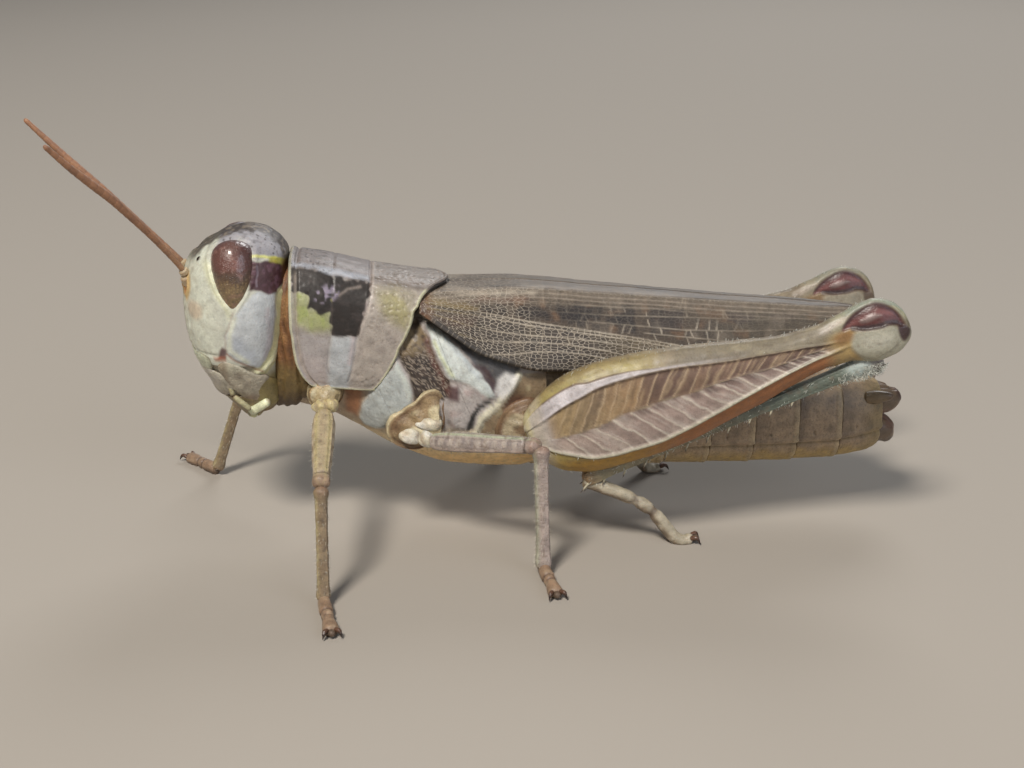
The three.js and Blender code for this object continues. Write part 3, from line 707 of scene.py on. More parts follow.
    coat.lay("#c08a5a", ease(0.5, 0.2, np.hypot(x - 0.15, z - 9.55)) * side_on * 0.35)
    coat.lay("#2b1d14", ease(0.13, 0.09, lateral_ocellus), 0.1)
    coat.lay("#8a6a3a", ease(0.14, 0.09, median_ocellus), 0.1)
    low = ease(7.2, 6.7, z) * ease(2.1, 2.5, x)
    coat.lay("#8c7f52", low * 0.9)
    coat.lay("#735a3a", low * ease(6.6, 5.4, z) * 0.8)
    coat.lay("#a39a6a", low * blotch(mirrored, 0.35, 18, 0.1) * 0.6)
    coat.lay("#8d8270", inside_mouth * 0.8)
    coat.lay("#8a8474", 0.22 * pits(mirrored, 0.2, 6) * (0.3 + 0.7 * front))
    Form().add(coat, lifted(points, height)).finish(
        "head_capsule", finish_named("head"), "head_cuticle", "head")


BODY_BEND = 0.8  # the same power for the neck and the thorax
neck_width = through([2.4, 0.7], [2.6, 0.9], [3.3, 1.5], [3.9, 1.86], [4.8, 1.75])
neck_top = through([2.4, 10.3], [3.5, 11.0], [4.8, 10.8])
neck_floor = through([2.3, 5.4], [2.8, 5.15], [3.4, 5.1], [4.2, 5.35], [4.9, 5.5])


def build_neck():
    """The folded skin between the head and the saddle: rings along x whose half-width, top and
    floor follow three curves, ruffled by folds that run round it."""
    angle = turns(170)
    x = 2.45 + 2.4 * spread(0, 1, 80, 0.4)[:, None] + 0 * angle
    middle, half = halves(neck_top(x), neck_floor(x))
    points = np.stack([x, neck_width(x) * bend(np.cos(angle), BODY_BEND),
                       middle + half * bend(np.sin(angle), BODY_BEND)], -1)
    z = points[..., 2]
    mirrored = np.stack([x, np.abs(points[..., 1]), z], -1)
    fold = np.sin(2 * np.pi * (x + 0.25 * grain(mirrored, 0.9, 151)) / 0.34)
    height = 0.028 * fold + 0.015 * grain(mirrored, 0.2, 152)
    coat = Coat(points, "#6d5a34", 0.5)
    coat.lay("#77512f", ease(6.6, 8.0, z + 0.4 * grain(mirrored, 0.5, 153)))
    # Darker in the troughs of the folds: painted shade in the creases.
    coat.lay("#5a3a22", ease(6.6, 8.0, z) * ease(0.4, -0.8, fold) * 0.7)
    coat.lay("#a27c50", ease(6.6, 8.0, z) * blotch(mirrored, 0.4, 154, 0.0, 0.7) * 0.5)
    coat.lay("#7d6a42", ease(7.0, 5.8, z) * blotch(mirrored, 0.3, 155) * 0.6)
    # Darker towards the bottom: painted shade under the head and the saddle.
    coat.lay("#47372c", ease(6.4, 5.2, z) * 0.8)
    Form().add(coat, lifted(points, height)).finish(
        "neck_membrane", finish_named("neck"), "thorax_cuticle")


def head_plate(outline, thick, colour, rows=20, cols=90, rough=0.4, side=1, paint=None):
    """A domed plate on the head: a disc whose radius follows an outline of [ring angle, z],
    raised by thick times the root of 1 - r^6, then back under itself to close."""
    middle, around, radius = polar_outline(outline, cols)
    out = np.sin(np.linspace(0.01, 1, rows) * np.pi / 2)
    r = np.concatenate([out, out[-2::-1]])[:, None]
    dome = np.sqrt(np.clip(1 - r ** 6, 0, 1)) * np.concatenate(
        [np.full(rows, thick), np.full(rows - 1, -0.3)])[:, None]
    angle = middle[0] + r * radius * np.cos(around)
    z = middle[1] + r * radius * np.sin(around)
    base = head_surface(angle, z)
    centre = np.stack([(face_line(z) + nape_line(z)) / 2, 0 * z, z], -1)
    way = base - centre
    way /= np.linalg.norm(way, axis=-1, keepdims=True)
    points = base + way * dome[..., None]
    points[..., 1] *= side
    height = np.where(dome > 0, 0.014 * grain(points, 0.2, 21) - 0.008 * pits(points, 0.2, 22), 0)
    points = points + way * [1, side, 1] * height[..., None]
    coat = Coat(points, colour, rough)
    coat.lay("#5a4838", ease(0.9, 1.0, r) * 0.6)
    if paint:
        paint(coat, points)
    return coat


def on_head(*corners):
    """Side-view corners [x, z] as ring angles and heights on the head's surface."""
    x, z = np.array(corners, float).T
    return np.stack([head_angle(x, z), z], -1)


def segments(joints, radii, colours, count=14, sides=16, rough=0.4):
    """A palp or the like: a string of barrels, each a tube with rounded ends."""
    coats = []
    for a, b, radius, colour in zip(joints[:-1], joints[1:], radii, colours):
        length = math.dist(a, b)
        t = spread(0, 1, count, 0.8)
        girth = radius * rounded(t, length, min(radius, length * 0.3)) * (1 + 0.1 * np.sin(np.pi * t))
        points = rod([a, b], (0.1, 0.2, 1), girth, t, sides)
        coats.append(Coat(points, colour, rough))
        coats[-1].lay("#6e5640", ease(0.12, 0.0, np.minimum(t, 1 - t))[:, None] * 0.7)
    return coats


def build_mouthparts():
    """Lips, jaws and palps: domed plates over the mouth and strings of barrels for the palps."""
    material = finish_named("mouth")
    clypeus = [(-1.0, 7.8), (-0.5, 7.78), (0, 7.76), (0.5, 7.78), (1.0, 7.8), (1.08, 7.55), (0.9, 7.12),
               (0.45, 7.06), (-0.45, 7.06), (-0.9, 7.12), (-1.08, 7.55)]
    form = Form().add(head_plate(clypeus, 0.06, "#bcc0a8", cols=150))
    labrum = [(-1.1, 7.06), (0, 7.02), (1.1, 7.06), (1.42, 6.75), (1.36, 6.3), (0.95, 5.98), (0.3, 5.88),
              (0, 6.0), (-0.3, 5.88), (-0.95, 5.98), (-1.36, 6.3), (-1.42, 6.75)]

    def lip(coat, points):
        coat.lay("#b9b4a4", ease(6.5, 6.9, points[..., 2]) * 0.7)
        coat.lay("#7d6a5e", ease(6.3, 5.9, points[..., 2]) * 0.7)
        coat.lay("#b0a9a4", blotch(points, 0.3, 23) * 0.5)
    form.add(head_plate(labrum, 0.1, "#aca594", cols=150, paint=lip))
    form.finish("clypeus_and_labrum", material, "mouthpart_cuticle", "clypeus_labrum")

    def jaw(coat, points):
        coat.lay("#b9b5a0", ease(6.9, 7.4, points[..., 2]) * 0.7)
        coat.lay("#7a6650", ease(1.45, 1.2, points[..., 0]) * 0.6)
        coat.lay("#84796a", blotch(points, 0.35, 25, 0.0, 0.7) * 0.6)
        coat.lay("#8a5a40", ease(6.3, 5.8, points[..., 2]) * 0.4)

    for name, side in SIDES:
        plate = head_plate(on_head((1.1, 7.62), (1.4, 7.62), (2.03, 7.2), (2.45, 6.98), (2.84, 6.83),
                                   (2.78, 6.3), (2.6, 5.91), (2.2, 5.66), (1.7, 6.1), (1.4, 6.45),
                                   (1.15, 6.95)), 0.1, "#a59d8c", side=side, paint=jaw)
        Form().add(plate).finish(f"{name}_mandible", material, "mouthpart_cuticle", f"mandible_{name}")
        form = Form()
        form.add(head_plate(on_head((2.4, 6.9), (2.85, 6.75), (3.15, 6.4), (3.15, 5.8), (2.9, 5.35),
                                    (2.5, 5.3), (2.35, 6.0)), 0.1, "#86784c", side=side))
        form.add(head_plate(on_head((1.75, 6.0), (2.2, 5.85), (2.6, 5.5), (2.5, 5.12), (2.0, 5.02),
                                    (1.6, 5.4)), 0.1, "#857554", side=side))
        for coat in segments([(1.55, side * 1.0, 5.7), (1.3, side * 1.38, 6.05), (1.24, side * 1.62, 6.67),
                              (1.45, side * 1.72, 6.05), (2.09, side * 1.72, 5.47)],
                             [0.09, 0.08, 0.085, 0.1], ["#8f8258", "#8f8258", "#9a9270", "#a59f7c"]):
            form.add(coat)
        form.finish(f"{name}_maxilla_and_palp", material, "mouthpart_cuticle", f"maxilla_{name}")
    lower_lip = [(-1.6, 5.65), (-0.8, 5.4), (0, 5.3), (0.8, 5.4), (1.6, 5.65), (1.8, 5.3), (1.3, 5.0),
                 (0.6, 4.9), (0, 4.88), (-0.6, 4.9), (-1.3, 5.0), (-1.8, 5.3)]
    form = Form().add(head_plate(lower_lip, 0.05, "#7b6a44", cols=120))
    for name, side in SIDES:
        for coat in segments([(2.5, side * 0.6, 5.2), (2.2, side * 0.95, 4.98), (1.98, side * 1.3, 5.2),
                              (2.82, side * 1.5, 5.76)],
                             [0.12, 0.13, 0.17], ["#9a9068", "#b3b48c", "#d3d6b4"]):
            form.add(coat)
    form.finish("labium_and_palps", material, "mouthpart_cuticle", "labium")


def build_antennae(settings):
    """Feelers: a stout first joint, a ring joint, then a whip of 24 short joints, each a
    little swollen before its far end."""
    for name, side in SIDES:
        tip, rise = ANTENNAE[name]
        root = ANTENNA_ROOT * [1, side, 1]
        length = np.linalg.norm(tip - root)
        t = np.linspace(0, 1, 560)
        at = t * length
        whip = np.clip((at - WHIP_START) / (length - WHIP_START), 0, 1)
        phase = (whip * WHIP_JOINTS) % 1
        radius = settings.antenna_radius * MM * (0.88 + 0.42 * hump(whip - 0.6, 0.3) - 0.22 * whip ** 4)
        radius = radius * (0.97 + 0.04 * np.sin(np.pi * phase) - 0.04 * hump(phase - 1, 0.1))
        ring = WHIP_START - FIRST_JOINT
        radius = np.where(at < FIRST_JOINT, 0.26 * rounded(at / FIRST_JOINT, FIRST_JOINT, 0.12), radius)
        radius = np.where((at >= FIRST_JOINT) & (at < WHIP_START),
                          0.18 * rounded((at - FIRST_JOINT) / ring, ring, 0.07), radius)
        radius = radius * rounded(t, length, 0.14, start=False)
        line = root + (tip - root) * t[:, None] + np.array([0, 0, 1]) * rise(t)[:, None]
        points = rod(line, (0, 1, 0), radius, t, 18)
        coat = Coat(points, settings.antenna_colour, 0.42)
        coat.lay("#9a7a5c", ease(0.35, 0.0, t)[:, None] * 0.6)
        coat.lay("#b0a184", (at < WHIP_START)[:, None] * 0.8)
        coat.lay("#6a4c3c", (hump(phase - 1, 0.12) * (at > WHIP_START))[:, None] * 0.5)
        coat.lay("#7c5a46", 0.5 * blotch(points, 0.2, 31))
        Form().add(coat).finish(f"{name}_antenna", finish_named("antenna"), "antenna_cuticle",
                                f"antenna_{name}")


# ---- Pronotum ----
saddle_width = through([3.7, 2.28], [5.5, 2.3], [7.4, 2.42], [9.7, 2.5])
saddle_top = through([3.7, 11.42], [5.0, 11.22], [7.0, 10.72], [9.7, 10.28])
SADDLE_BOTTOM, SADDLE_SQUARE = 5.2, 2.9


def saddle_point(x, angle):
    """The saddle's ring at x: the angle is 0 at the ridge and grows down the right side."""
    middle, half = halves(saddle_top(x), SADDLE_BOTTOM)
    return np.stack([x + 0 * angle, saddle_width(x) * bend(np.sin(angle), 2 / SADDLE_SQUARE),
                     middle + half * bend(np.cos(angle), 2 / SADDLE_SQUARE)], -1)


hem_line = through([3.7, 6.7], [4.2, 6.5], [5.0, 6.4], [5.8, 6.32], [6.8, 6.26], [8.6, 6.4])
hind_flank = through([6.25, 6.7], [6.42, 6.95], [6.6, 7.12], [6.8, 7.27], [8.0, 7.95], [9.1, 8.42],
                     [9.72, 8.56], [9.95, 8.6])
hind_back = through([0, 9.95], [0.5, 9.75], [1.2, 9.3], [2.0, 8.75], [2.3, 8.58])
front_flank = through([6.3, 4.6], [6.5, 4.32], [6.8, 4.08], [7.2, 3.9], [8.3, 3.76], [12, 3.78])


def build_pronotum(settings):
    """The saddle: for each arc position from hem to hem, x runs from the front outline to the
    hind one; the arc's own end follows the hem line. Grooves, keels and rims are heights."""
    rows, cols = 140, 290
    s = spread(0, 1, rows, 0.35)[:, None]
    across = np.linspace(-1, 1, cols)[None, :]
    reach = np.abs(across)
    sketch = saddle_point(7.0 + 0 * across, np.pi / 2 * 1.31 * reach)
    z_at, y_at = sketch[..., 2], np.abs(sketch[..., 1])
    hind = np.where(z_at < 9.72, hind_flank(z_at), np.maximum(hind_back(y_at), hind_flank(z_at)))
    hind = sum(np.roll(hind, k, 1) for k in range(-3, 4)) / 7
    hind[:, :4], hind[:, -4:] = hind[:, 4:5], hind[:, -5:-4]
    x = front_flank(z_at) + (hind - front_flank(z_at)) * s
    middle, half = halves(saddle_top(x), SADDLE_BOTTOM)
    hem_cos = bend(np.clip((hem_line(x) - middle) / half, -1, 1), SADDLE_SQUARE / 2)
    hem_angle = np.arccos(hem_cos)
    points = saddle_point(x, across * hem_angle)
    y, z = points[..., 1], points[..., 2]
    flank = np.abs(y)
    mirrored = np.stack([x, flank, z], -1)
    wobble = 0.04 * grain(mirrored, 0.25, 41)
    wx, wz = x + wobble, z + 0.04 * grain(mirrored, 0.25, 42)
    to_front = (x - front_flank(z_at))
    to_hind = hind - x
    to_hem = (1 - reach) * hem_angle * 2.4
    edge = np.minimum(np.minimum(to_front, to_hind), to_hem)
    lobe = ease(1.5, 2.0, flank)
    area, _ = marks(wx, wz)

    height = 0.03 * hump(edge - 0.09, 0.05) - 0.05 * ease(0.05, 0.0, edge)
    height -= 0.08 * hump(to_front - 0.3, 0.07)
    main = [(6.87, 10.75), (6.88, 10.32), (6.8, 9.8), (6.63, 9.36), (6.4, 8.8), (6.29, 8.49),
            (6.2, 7.92), (6.12, 7.5), (6.02, 7.0), (5.9, 6.7)]
    top_groove = hump(x - 6.87, 0.05) * ease(9.8, 10.4, z)
    height -= 0.05 * np.maximum(stroke(x, z, main, 0.02, 0.06), top_groove)
    height += 0.02 * stroke(x + 0.1, z, main, 0.02, 0.08)
    second = [(5.42, 10.3), (5.4, 9.6), (5.33, 8.7), (5.22, 8.1), (5.12, 7.4), (5.2, 7.0)]
    height -= 0.045 * np.maximum(stroke(x, z, second, 0.02, 0.06), 0.7 * hump(x - 5.45, 0.06)
                                * ease(10.0, 10.5, z))
    third = [(4.5, 10.2), (4.45, 9.6), (4.5, 8.9), (4.75, 8.5), (5.3, 8.45)]
    height -= 0.05 * stroke(x, z, third, 0.03, 0.08)
    height += 0.07 * hump(y, 0.06) * (1 - 0.7 * top_groove)
    shoulder = through([3.7, 1.5], [6.9, 1.62], [8.6, 1.95])(x)
    height += 0.035 * hump(flank - shoulder, 0.12) * ease(9.6, 10.2, z)
    height += 0.04 * patch(x, z, [(5.35, 8.4), (6.2, 8.4), (6.05, 6.8), (5.3, 6.8)], 0.3)
    height += 0.05 * patch(x, z, [(4.1, 10.2), (5.2, 10.2), (5.2, 8.8), (4.1, 8.8)], 0.3) * lobe
    rear_field = ease(6.85, 7.1, x + 0.25 * (10.3 - z) * lobe)
    pit = pits(mirrored, 0.2, 43)
    height -= (0.02 * rear_field + 0.005) * pit
    height += 0.009 * grain(mirrored, 0.35, 44) + 0.004 * grain(mirrored, 0.12, 45)

    coat = Coat(points, "#9d958e", 0.42)
    disc = ease(1.75, 1.45, flank) * ease(9.8, 10.2, z)
    coat.lay("#756d6b", disc)
    coat.lay("#9e958c", rear_field * 0.9)
    coat.lay("#756c66", disc * rear_field * 0.8)
    coat.lay("#574c40", disc * blotch(mirrored * [0.4, 1, 1], 0.22, 46, 0.1, 0.7) * 0.6)
    flash = patch(x + 0.08 * grain(mirrored, 0.3, 51), z + 0.12 * grain(mirrored, 0.35, 52), [
        (4.05, 10.3), (4.5, 10.3), (4.55, 9.7), (5.4, 9.6), (5.36, 8.75), (4.7, 8.75), (4.1, 9.1)], 0.3)
    coat.lay(settings.flash_colour, lobe * flash * 0.85)
    coat.lay("#a5a87c", lobe * area([(4.1, 10.2), (4.45, 10.2), (4.6, 9.5), (4.9, 9.0), (4.1, 9.0)],
                                    0.16) * 0.6)
    coat.lay("#93a04e", lobe * flash * blotch(mirrored, 0.22, 53) * 0.5)
    coat.lay("#9b9593", area([(4.05, 8.7), (5.25, 8.55), (5.2, 6.5), (4.1, 6.6)], 0.2) * 0.9)
    coat.lay("#a89d9a", area([(4.0, 7.9), (5.0, 7.7), (5.15, 6.5), (4.3, 6.5)], 0.25) * 0.6)
    coat.lay("#a9adb0", area([(5.37, 8.57), (6.32, 8.53), (6.1, 7.4), (5.95, 6.8), (5.87, 6.2),
                              (5.1, 6.3), (5.18, 7.53)], 0.12) * 0.9)
    coat.lay("#8d8650", area([(7.12, 10.15), (7.8, 10.2), (8.5, 9.95), (8.45, 9.3), (8.15, 8.8),
                              (7.3, 9.4)], 0.3) * 0.75)
    coat.lay("#a98e8e", stroke(wx + 0.12, wz, main[2:8], 0.12, 0.12) * 0.5)
    coat.lay("#8b827c", rear_field * lobe * blotch(mirrored, 0.4, 47) * 0.5)
    bar = [(3.9, 11.1), (4.38, 11.02), (5.12, 10.9), (5.56, 10.7), (6.01, 10.62), (6.9, 10.45),
           (6.84, 10.01), (6.6, 9.42), (6.46, 8.84), (6.34, 8.54), (5.74, 8.56), (5.37, 8.61),
           (5.35, 8.97), (5.33, 9.5), (5.12, 9.4), (4.77, 9.53), (4.51, 9.69), (4.56, 10.01),
           (4.35, 10.25), (3.9, 10.27)]
    ragged_x, ragged_z = x + 0.09 * grain(mirrored, 0.16, 54), z + 0.09 * grain(mirrored, 0.16, 55)
    dark = patch(ragged_x, ragged_z, bar, 0.05) * ease(1.35, 1.55, flank)
    coat.lay(settings.mark_colour, dark, 0.6)
    coat.lay("#473d3b", dark * blotch(mirrored, 0.2, 56, 0.1, 0.8) * 0.35)
    coat.lay("#4d4845", dark * ease(5.1, 4.7, x) * ease(10.3, 10.6, z) * 0.35)
    island = area([(4.75, 10.2), (5.2, 10.45), (5.65, 10.42), (5.7, 10.1), (5.4, 9.85), (5.0, 9.85),
                   (4.75, 9.95)], 0.1)
    coat.lay("#8f8596", island * blotch(mirrored, 0.14, 48, -0.1, 0.35) * 0.9)
    coat.lay("#a8a568", island * blotch(mirrored, 0.2, 49, 0.2) * ease(5.2, 5.4, x) * 0.8)
    coat.lay("#8c8078", stroke(wx, z, [(5.72, 10.1), (6.0, 10.3), (6.5, 10.35)], 0.07, 0.06) * 0.7)
    band = area([(3.9, 11.5), (5.3, 11.15), (6.8, 10.85), (6.85, 10.5), (6.3, 10.6), (5.35, 10.8),
                 (4.9, 10.98), (3.9, 11.12)], 0.09) * ease(1.05, 1.35, flank)
    coat.lay("#9b9ea6", band * 0.9)
    coat.lay("#bfc2ca", band * blotch(mirrored * [0.4, 1, 1], 0.4, 57, 0.1, 0.7) * 0.6)
    coat.lay("#2f2a28", disc * blotch(mirrored, 0.1, 50, 0.42, 0.7) * ease(6.0, 4.6, x) * 0.8)
    coat.lay("#b5a9a0", stroke(x - 0.1, z, main, 0.06, 0.05) * 0.6)
    coat.lay("#7a6a60", np.maximum(stroke(x, z, main, 0.02, 0.05), top_groove) * 0.5)
    coat.lay("#6a6058", stroke(x, z, second, 0.02, 0.05) * 0.4)
    coat.lay("#37291f", hump(y, 0.05) * ease(6.0, 7.4, x) * 0.9)
    coat.lay("#8a7a6c", stroke(x, z, [(3.95, 6.95), (4.6, 6.78), (5.2, 6.6)], 0.03, 0.05) * 0.5)
    coat.lay("#bfbea4", ease(0.14, 0.08, to_front) * (1 - 0.6 * disc) * 0.9)
    coat.lay("#a89a8c", hump(to_front - 0.26, 0.05) * (1 - disc) * 0.7)
    coat.lay("#bdbb9c", ease(0.16, 0.08, np.minimum(to_hind, to_hem)) * (1 - disc) * 0.9)
    coat.lay("#877b72", pit * rear_field * 0.3)
    Form().add(coat, lifted(points, height, ring=False), closed=False).finish(
        "pronotum_saddle", finish_named("pronotum"), "pronotum_cuticle", "pronotum", wall=0.2)


# ---- Thorax ----
thorax_width = through([3.9, 1.5], [5.0, 1.65], [6.6, 1.98], [7.4, 2.3], [8.5, 2.5], [11.0, 2.6], [13.1, 2.3])
thorax_top = through([3.9, 9.6], [7.0, 9.7], [9.0, 9.35], [11.0, 9.2], [13.6, 8.4])
thorax_floor = through([3.9, 5.25], [5.0, 4.95], [6.2, 4.3], [7.9, 3.35], [9.9, 2.66], [12.6, 2.45],
                       [13.6, 2.7])
SUTURE_SLANT = 0.42


def thorax_grid(front, hind, rows, cols):
    """Rings between two slanted sutures: x = station - slant (z - 6), where z is the ring's own
    height at x, settled by repeating the two formulas six times. The slant fades out towards
    both ends of the thorax."""
    angle = turns(cols)
    station = front + (hind - front) * spread(0, 1, rows, 0.3)[:, None]
    slant = SUTURE_SLANT * ease(3.9, 6.8, station) * ease(14.0, 10.0, station)
    z = 6 + 0 * angle * station
    for _ in range(6):
        x = station - slant * (z - 6)
        middle, half = halves(thorax_top(x), thorax_floor(x))
        z = middle + half * bend(np.sin(angle), BODY_BEND)
    return np.stack([x, thorax_width(x) * bend(np.cos(angle), BODY_BEND), z], -1)


def build_thorax(settings):
    """Three ring sections with raised side plates and grooves between them."""
    # Each ring's name, its front and hind sutures, and the rows and columns of its grid.
    pieces = (("prothorax", 3.95, 7.295, 70, 260), ("mesothorax", 7.305, 10.345, 126, 440),
              ("metathorax", 10.355, 13.6, 110, 260))
    white_plate = [(7.81, 7.5), (8.11, 6.95), (8.32, 6.3), (8.35, 5.8), (8.07, 5.5), (7.6, 5.15),
                   (7.3, 4.7), (6.9, 4.55), (6.45, 4.7), (6.3, 5.0), (6.45, 5.72), (6.93, 6.35),
                   (7.41, 6.97)]
    dark_band = [(7.85, 7.8), (8.0, 8.5), (8.6, 9.0), (8.95, 8.5), (9.19, 7.84), (9.49, 7.11), (9.79, 6.69),
                 (9.85, 6.1), (9.4, 5.9), (8.9, 6.0), (8.45, 5.85), (8.4, 6.3), (8.25, 7.0), (7.95, 7.5)]
    stripe = [(8.95, 8.8), (9.3, 8.68), (9.6, 8.5), (10.3, 7.76), (10.97, 7.08), (11.42, 6.41), (11.6, 6.1),
              (11.28, 6.05), (10.54, 6.62), (9.8, 6.84), (9.5, 7.44), (9.2, 8.09)]
    pale_plate = [(9.95, 6.5), (10.5, 6.6), (10.9, 6.4), (11.2, 6.0), (10.95, 5.6), (10.6, 5.2), (10.5, 4.7),
                  (9.9, 4.8), (9.7, 5.5)]
    hip_rim = [(10.78, 4.5), (11.05, 5.15), (11.6, 5.66), (12.1, 6.2), (12.5, 6.85)]
    hip_lobe = [(10.85, 4.4), (11.15, 5.1), (11.7, 5.6), (12.2, 6.15), (12.6, 6.9), (13.8, 6.9),
                (13.8, 3.9), (11.6, 3.9)]
    for name, front, hind, rows, cols in pieces:
        points = thorax_grid(front, hind, rows, cols)
        x, y, z = np.moveaxis(points, -1, 0)
        flank = np.abs(y)
        mirrored = np.stack([x, flank, z], -1)
        side_on = ease(0.9, 1.4, flank)
        wx, wz = x + 0.05 * grain(mirrored, 0.25, 61), z + 0.05 * grain(mirrored, 0.25, 62)
        area, line = marks(wx, wz, side_on)
        plate, edge = marks(x, z, side_on)
        band = area(dark_band, 0.06)
        height = 0.12 * plate(white_plate, 0.14)
        height += 0.14 * plate(stripe, 0.16)
        height += 0.12 * side_on * hump(np.hypot(x - 8.55, (z - 8.1) * 0.6), 0.33)
        height -= 0.04 * band + 0.02 * band * grain(mirrored, 0.15, 69)
        height -= 0.06 * edge([(7.9, 7.8), (8.3, 7.0), (8.42, 6.3), (8.38, 5.8), (7.6, 5.05),
                               (7.3, 4.5)], 0.04, 0.08)
        height += 0.09 * plate(pale_plate, 0.18)
        height -= 0.08 * edge([(10.6, 4.7), (10.7, 5.2), (10.95, 5.6), (11.4, 5.85)], 0.06, 0.08)
        height += 0.14 * edge(hip_rim, 0.16, 0.14)
        height -= 0.08 * side_on * hump(np.hypot(x - 12.4, z - 5.6), 0.45)
        height += 0.09 * side_on * hump(np.hypot(x - 12.3, z - 6.5), 0.35)
        height += 0.014 * grain(mirrored, 0.3, 63) + 0.005 * grain(mirrored, 0.12, 64)
        height -= 0.016 * pits(mirrored, 0.2, 65)

        coat = Coat(points, "#a09894", 0.45)
        coat.lay("#a08a6c", ease(7.3, 6.6, x + 0.3 * (z - 5.5)) * 0.8)
        coat.lay("#8a5a38", area([(5.7, 6.6), (6.5, 6.6), (6.35, 5.5), (6.2, 5.0), (5.8, 5.2)], 0.12)
                 * 0.9)
        coat.lay("#dac69f", ease(5.0, 4.0, z + 0.3 * grain(mirrored, 0.5, 66)))
        coat.lay("#dfbb80", ease(4.0, 3.2, z) * 0.9)
        coat.lay("#a9aeac", area(white_plate, 0.05))
        coat.lay("#cdd2c6", line([(7.85, 7.3), (8.15, 6.7), (8.25, 6.1)], 0.16, 0.1) * 0.6)
        coat.lay("#75634a", band)
        coat.lay("#8d7c5c", band * hump(np.hypot(x - 8.5, (z - 8.0) * 0.6), 0.35) * 0.8)
        coat.lay("#2c2320", band * ease(8.2, 7.5, z + 0.3 * grain(mirrored, 0.3, 67)))
        coat.lay("#3a2c26", band * blotch(mirrored, 0.14, 60, 0.0, 0.5) * 0.7)
        coat.lay("#5c3328", line([(8.95, 8.3), (9.25, 7.4), (9.55, 6.75), (9.8, 6.2)], 0.2, 0.12) * 0.8)
        row, col = np.indices(x.shape)
        speck = ease(0.6, 0.75, scatter(np.stack([row // 2, col, 0 * row], -1), 68))
        coat.lay("#94887a", band * 0.75 * speck * ease(8.3, 7.6, z))
        # Dark grey on the flank under the wing cover's edge: painted shade, where the cover shades the flank.
        shade_under_wing = [(9.45, 8.75), (10.0, 8.25), (10.5, 7.7), (11.1, 7.05), (11.5, 6.4), (12.3, 6.3),
                      (12.6, 7.2), (11.6, 8.4), (9.9, 9.2)]
        coat.lay("#474647", area(shade_under_wing, 0.06))
        coat.lay("#54555a", area(shade_under_wing, 0.06) * blotch(mirrored, 0.3, 70, 0.1) * 0.5)
        coat.lay("#3a1f24", area([(10.7, 7.4), (11.2, 7.3), (11.7, 6.6), (11.5, 6.2), (11.1, 6.75)],
                                 0.08) * 0.8)
        coat.lay(settings.stripe_colour, area(stripe, 0.05))
        coat.lay("#c3c79c", line([(9.25, 8.2), (9.6, 7.5), (9.95, 6.95)], 0.12, 0.08) * 0.7)
        coat.lay("#b1b8bd", line([(9.7, 8.3), (10.35, 7.6), (11.0, 6.85)], 0.12, 0.1) * 0.7)
        coat.lay("#cfc9bf", area([(8.62, 9.3), (8.95, 9.2), (9.2, 8.98), (9.0, 8.85), (8.68, 9.05)],
                                 0.05))
        coat.lay("#aca5a1", area(pale_plate, 0.16) * 0.9)
        coat.lay("#a88c88", area(pale_plate, 0.1) * blotch(mirrored, 0.3, 71) * 0.4)
        coat.lay("#4a2a2c", area([(9.75, 6.55), (10.2, 6.55), (10.15, 5.9), (9.75, 5.95)], 0.09) * 0.9)
        coat.lay("#2b2b2b", line([(10.6, 4.8), (10.7, 5.3), (10.95, 5.66), (11.35, 5.88)], 0.2, 0.06)
                 * 0.92)
        hip_field = area(hip_lobe, 0.08)
        coat.lay("#857258", hip_field)
        # Darker in the dent above the hip: painted shade in the hollow.
        coat.lay("#5a3c2e", hip_field * ease(0.7, 0.3, np.hypot(x - 12.4, z - 5.6)) * 0.9)
        coat.lay("#b3a888", hip_field * blotch(mirrored, 0.3, 73, 0.1) * 0.6)
        coat.lay("#cbc5ae", line(hip_rim, 0.3, 0.07))
        # A near-white patch on the swelling above the hip: a painted highlight.
        coat.lay("#c9c7c4", plate([(11.6, 6.3), (11.82, 5.94), (12.21, 6.27), (12.47, 6.81),
                                   (12.0, 7.0), (11.69, 6.76)], 0.13))
        coat.lay("#77685a", pits(mirrored, 0.2, 65) * 0.25)
        SKINS[name] = lifted(points, height)
        Form().add(coat, SKINS[name]).finish(
            f"{name}_side_plates", finish_named("thorax"), "thorax_cuticle", name)


# ---- Abdomen and tail ----
abdomen_width = through([13.1, 2.12], [16, 2.05], [21, 1.95], [25, 1.7], [27.0, 1.3], [27.6, 1.0])
abdomen_top = through([13.1, 8.35], [16, 7.9], [21, 7.1], [25, 6.35], [27.0, 5.75], [27.6, 5.4])
abdomen_floor = through([13.1, 2.32], [16, 2.26], [22, 2.22], [25.5, 2.3], [27.0, 2.55],
                        [27.6, 2.9])
ABDOMEN_FRONT, ABDOMEN_END, SEGMENTS = 13.1, 27.45, 8
ABDOMEN_SQUARE = 2.15


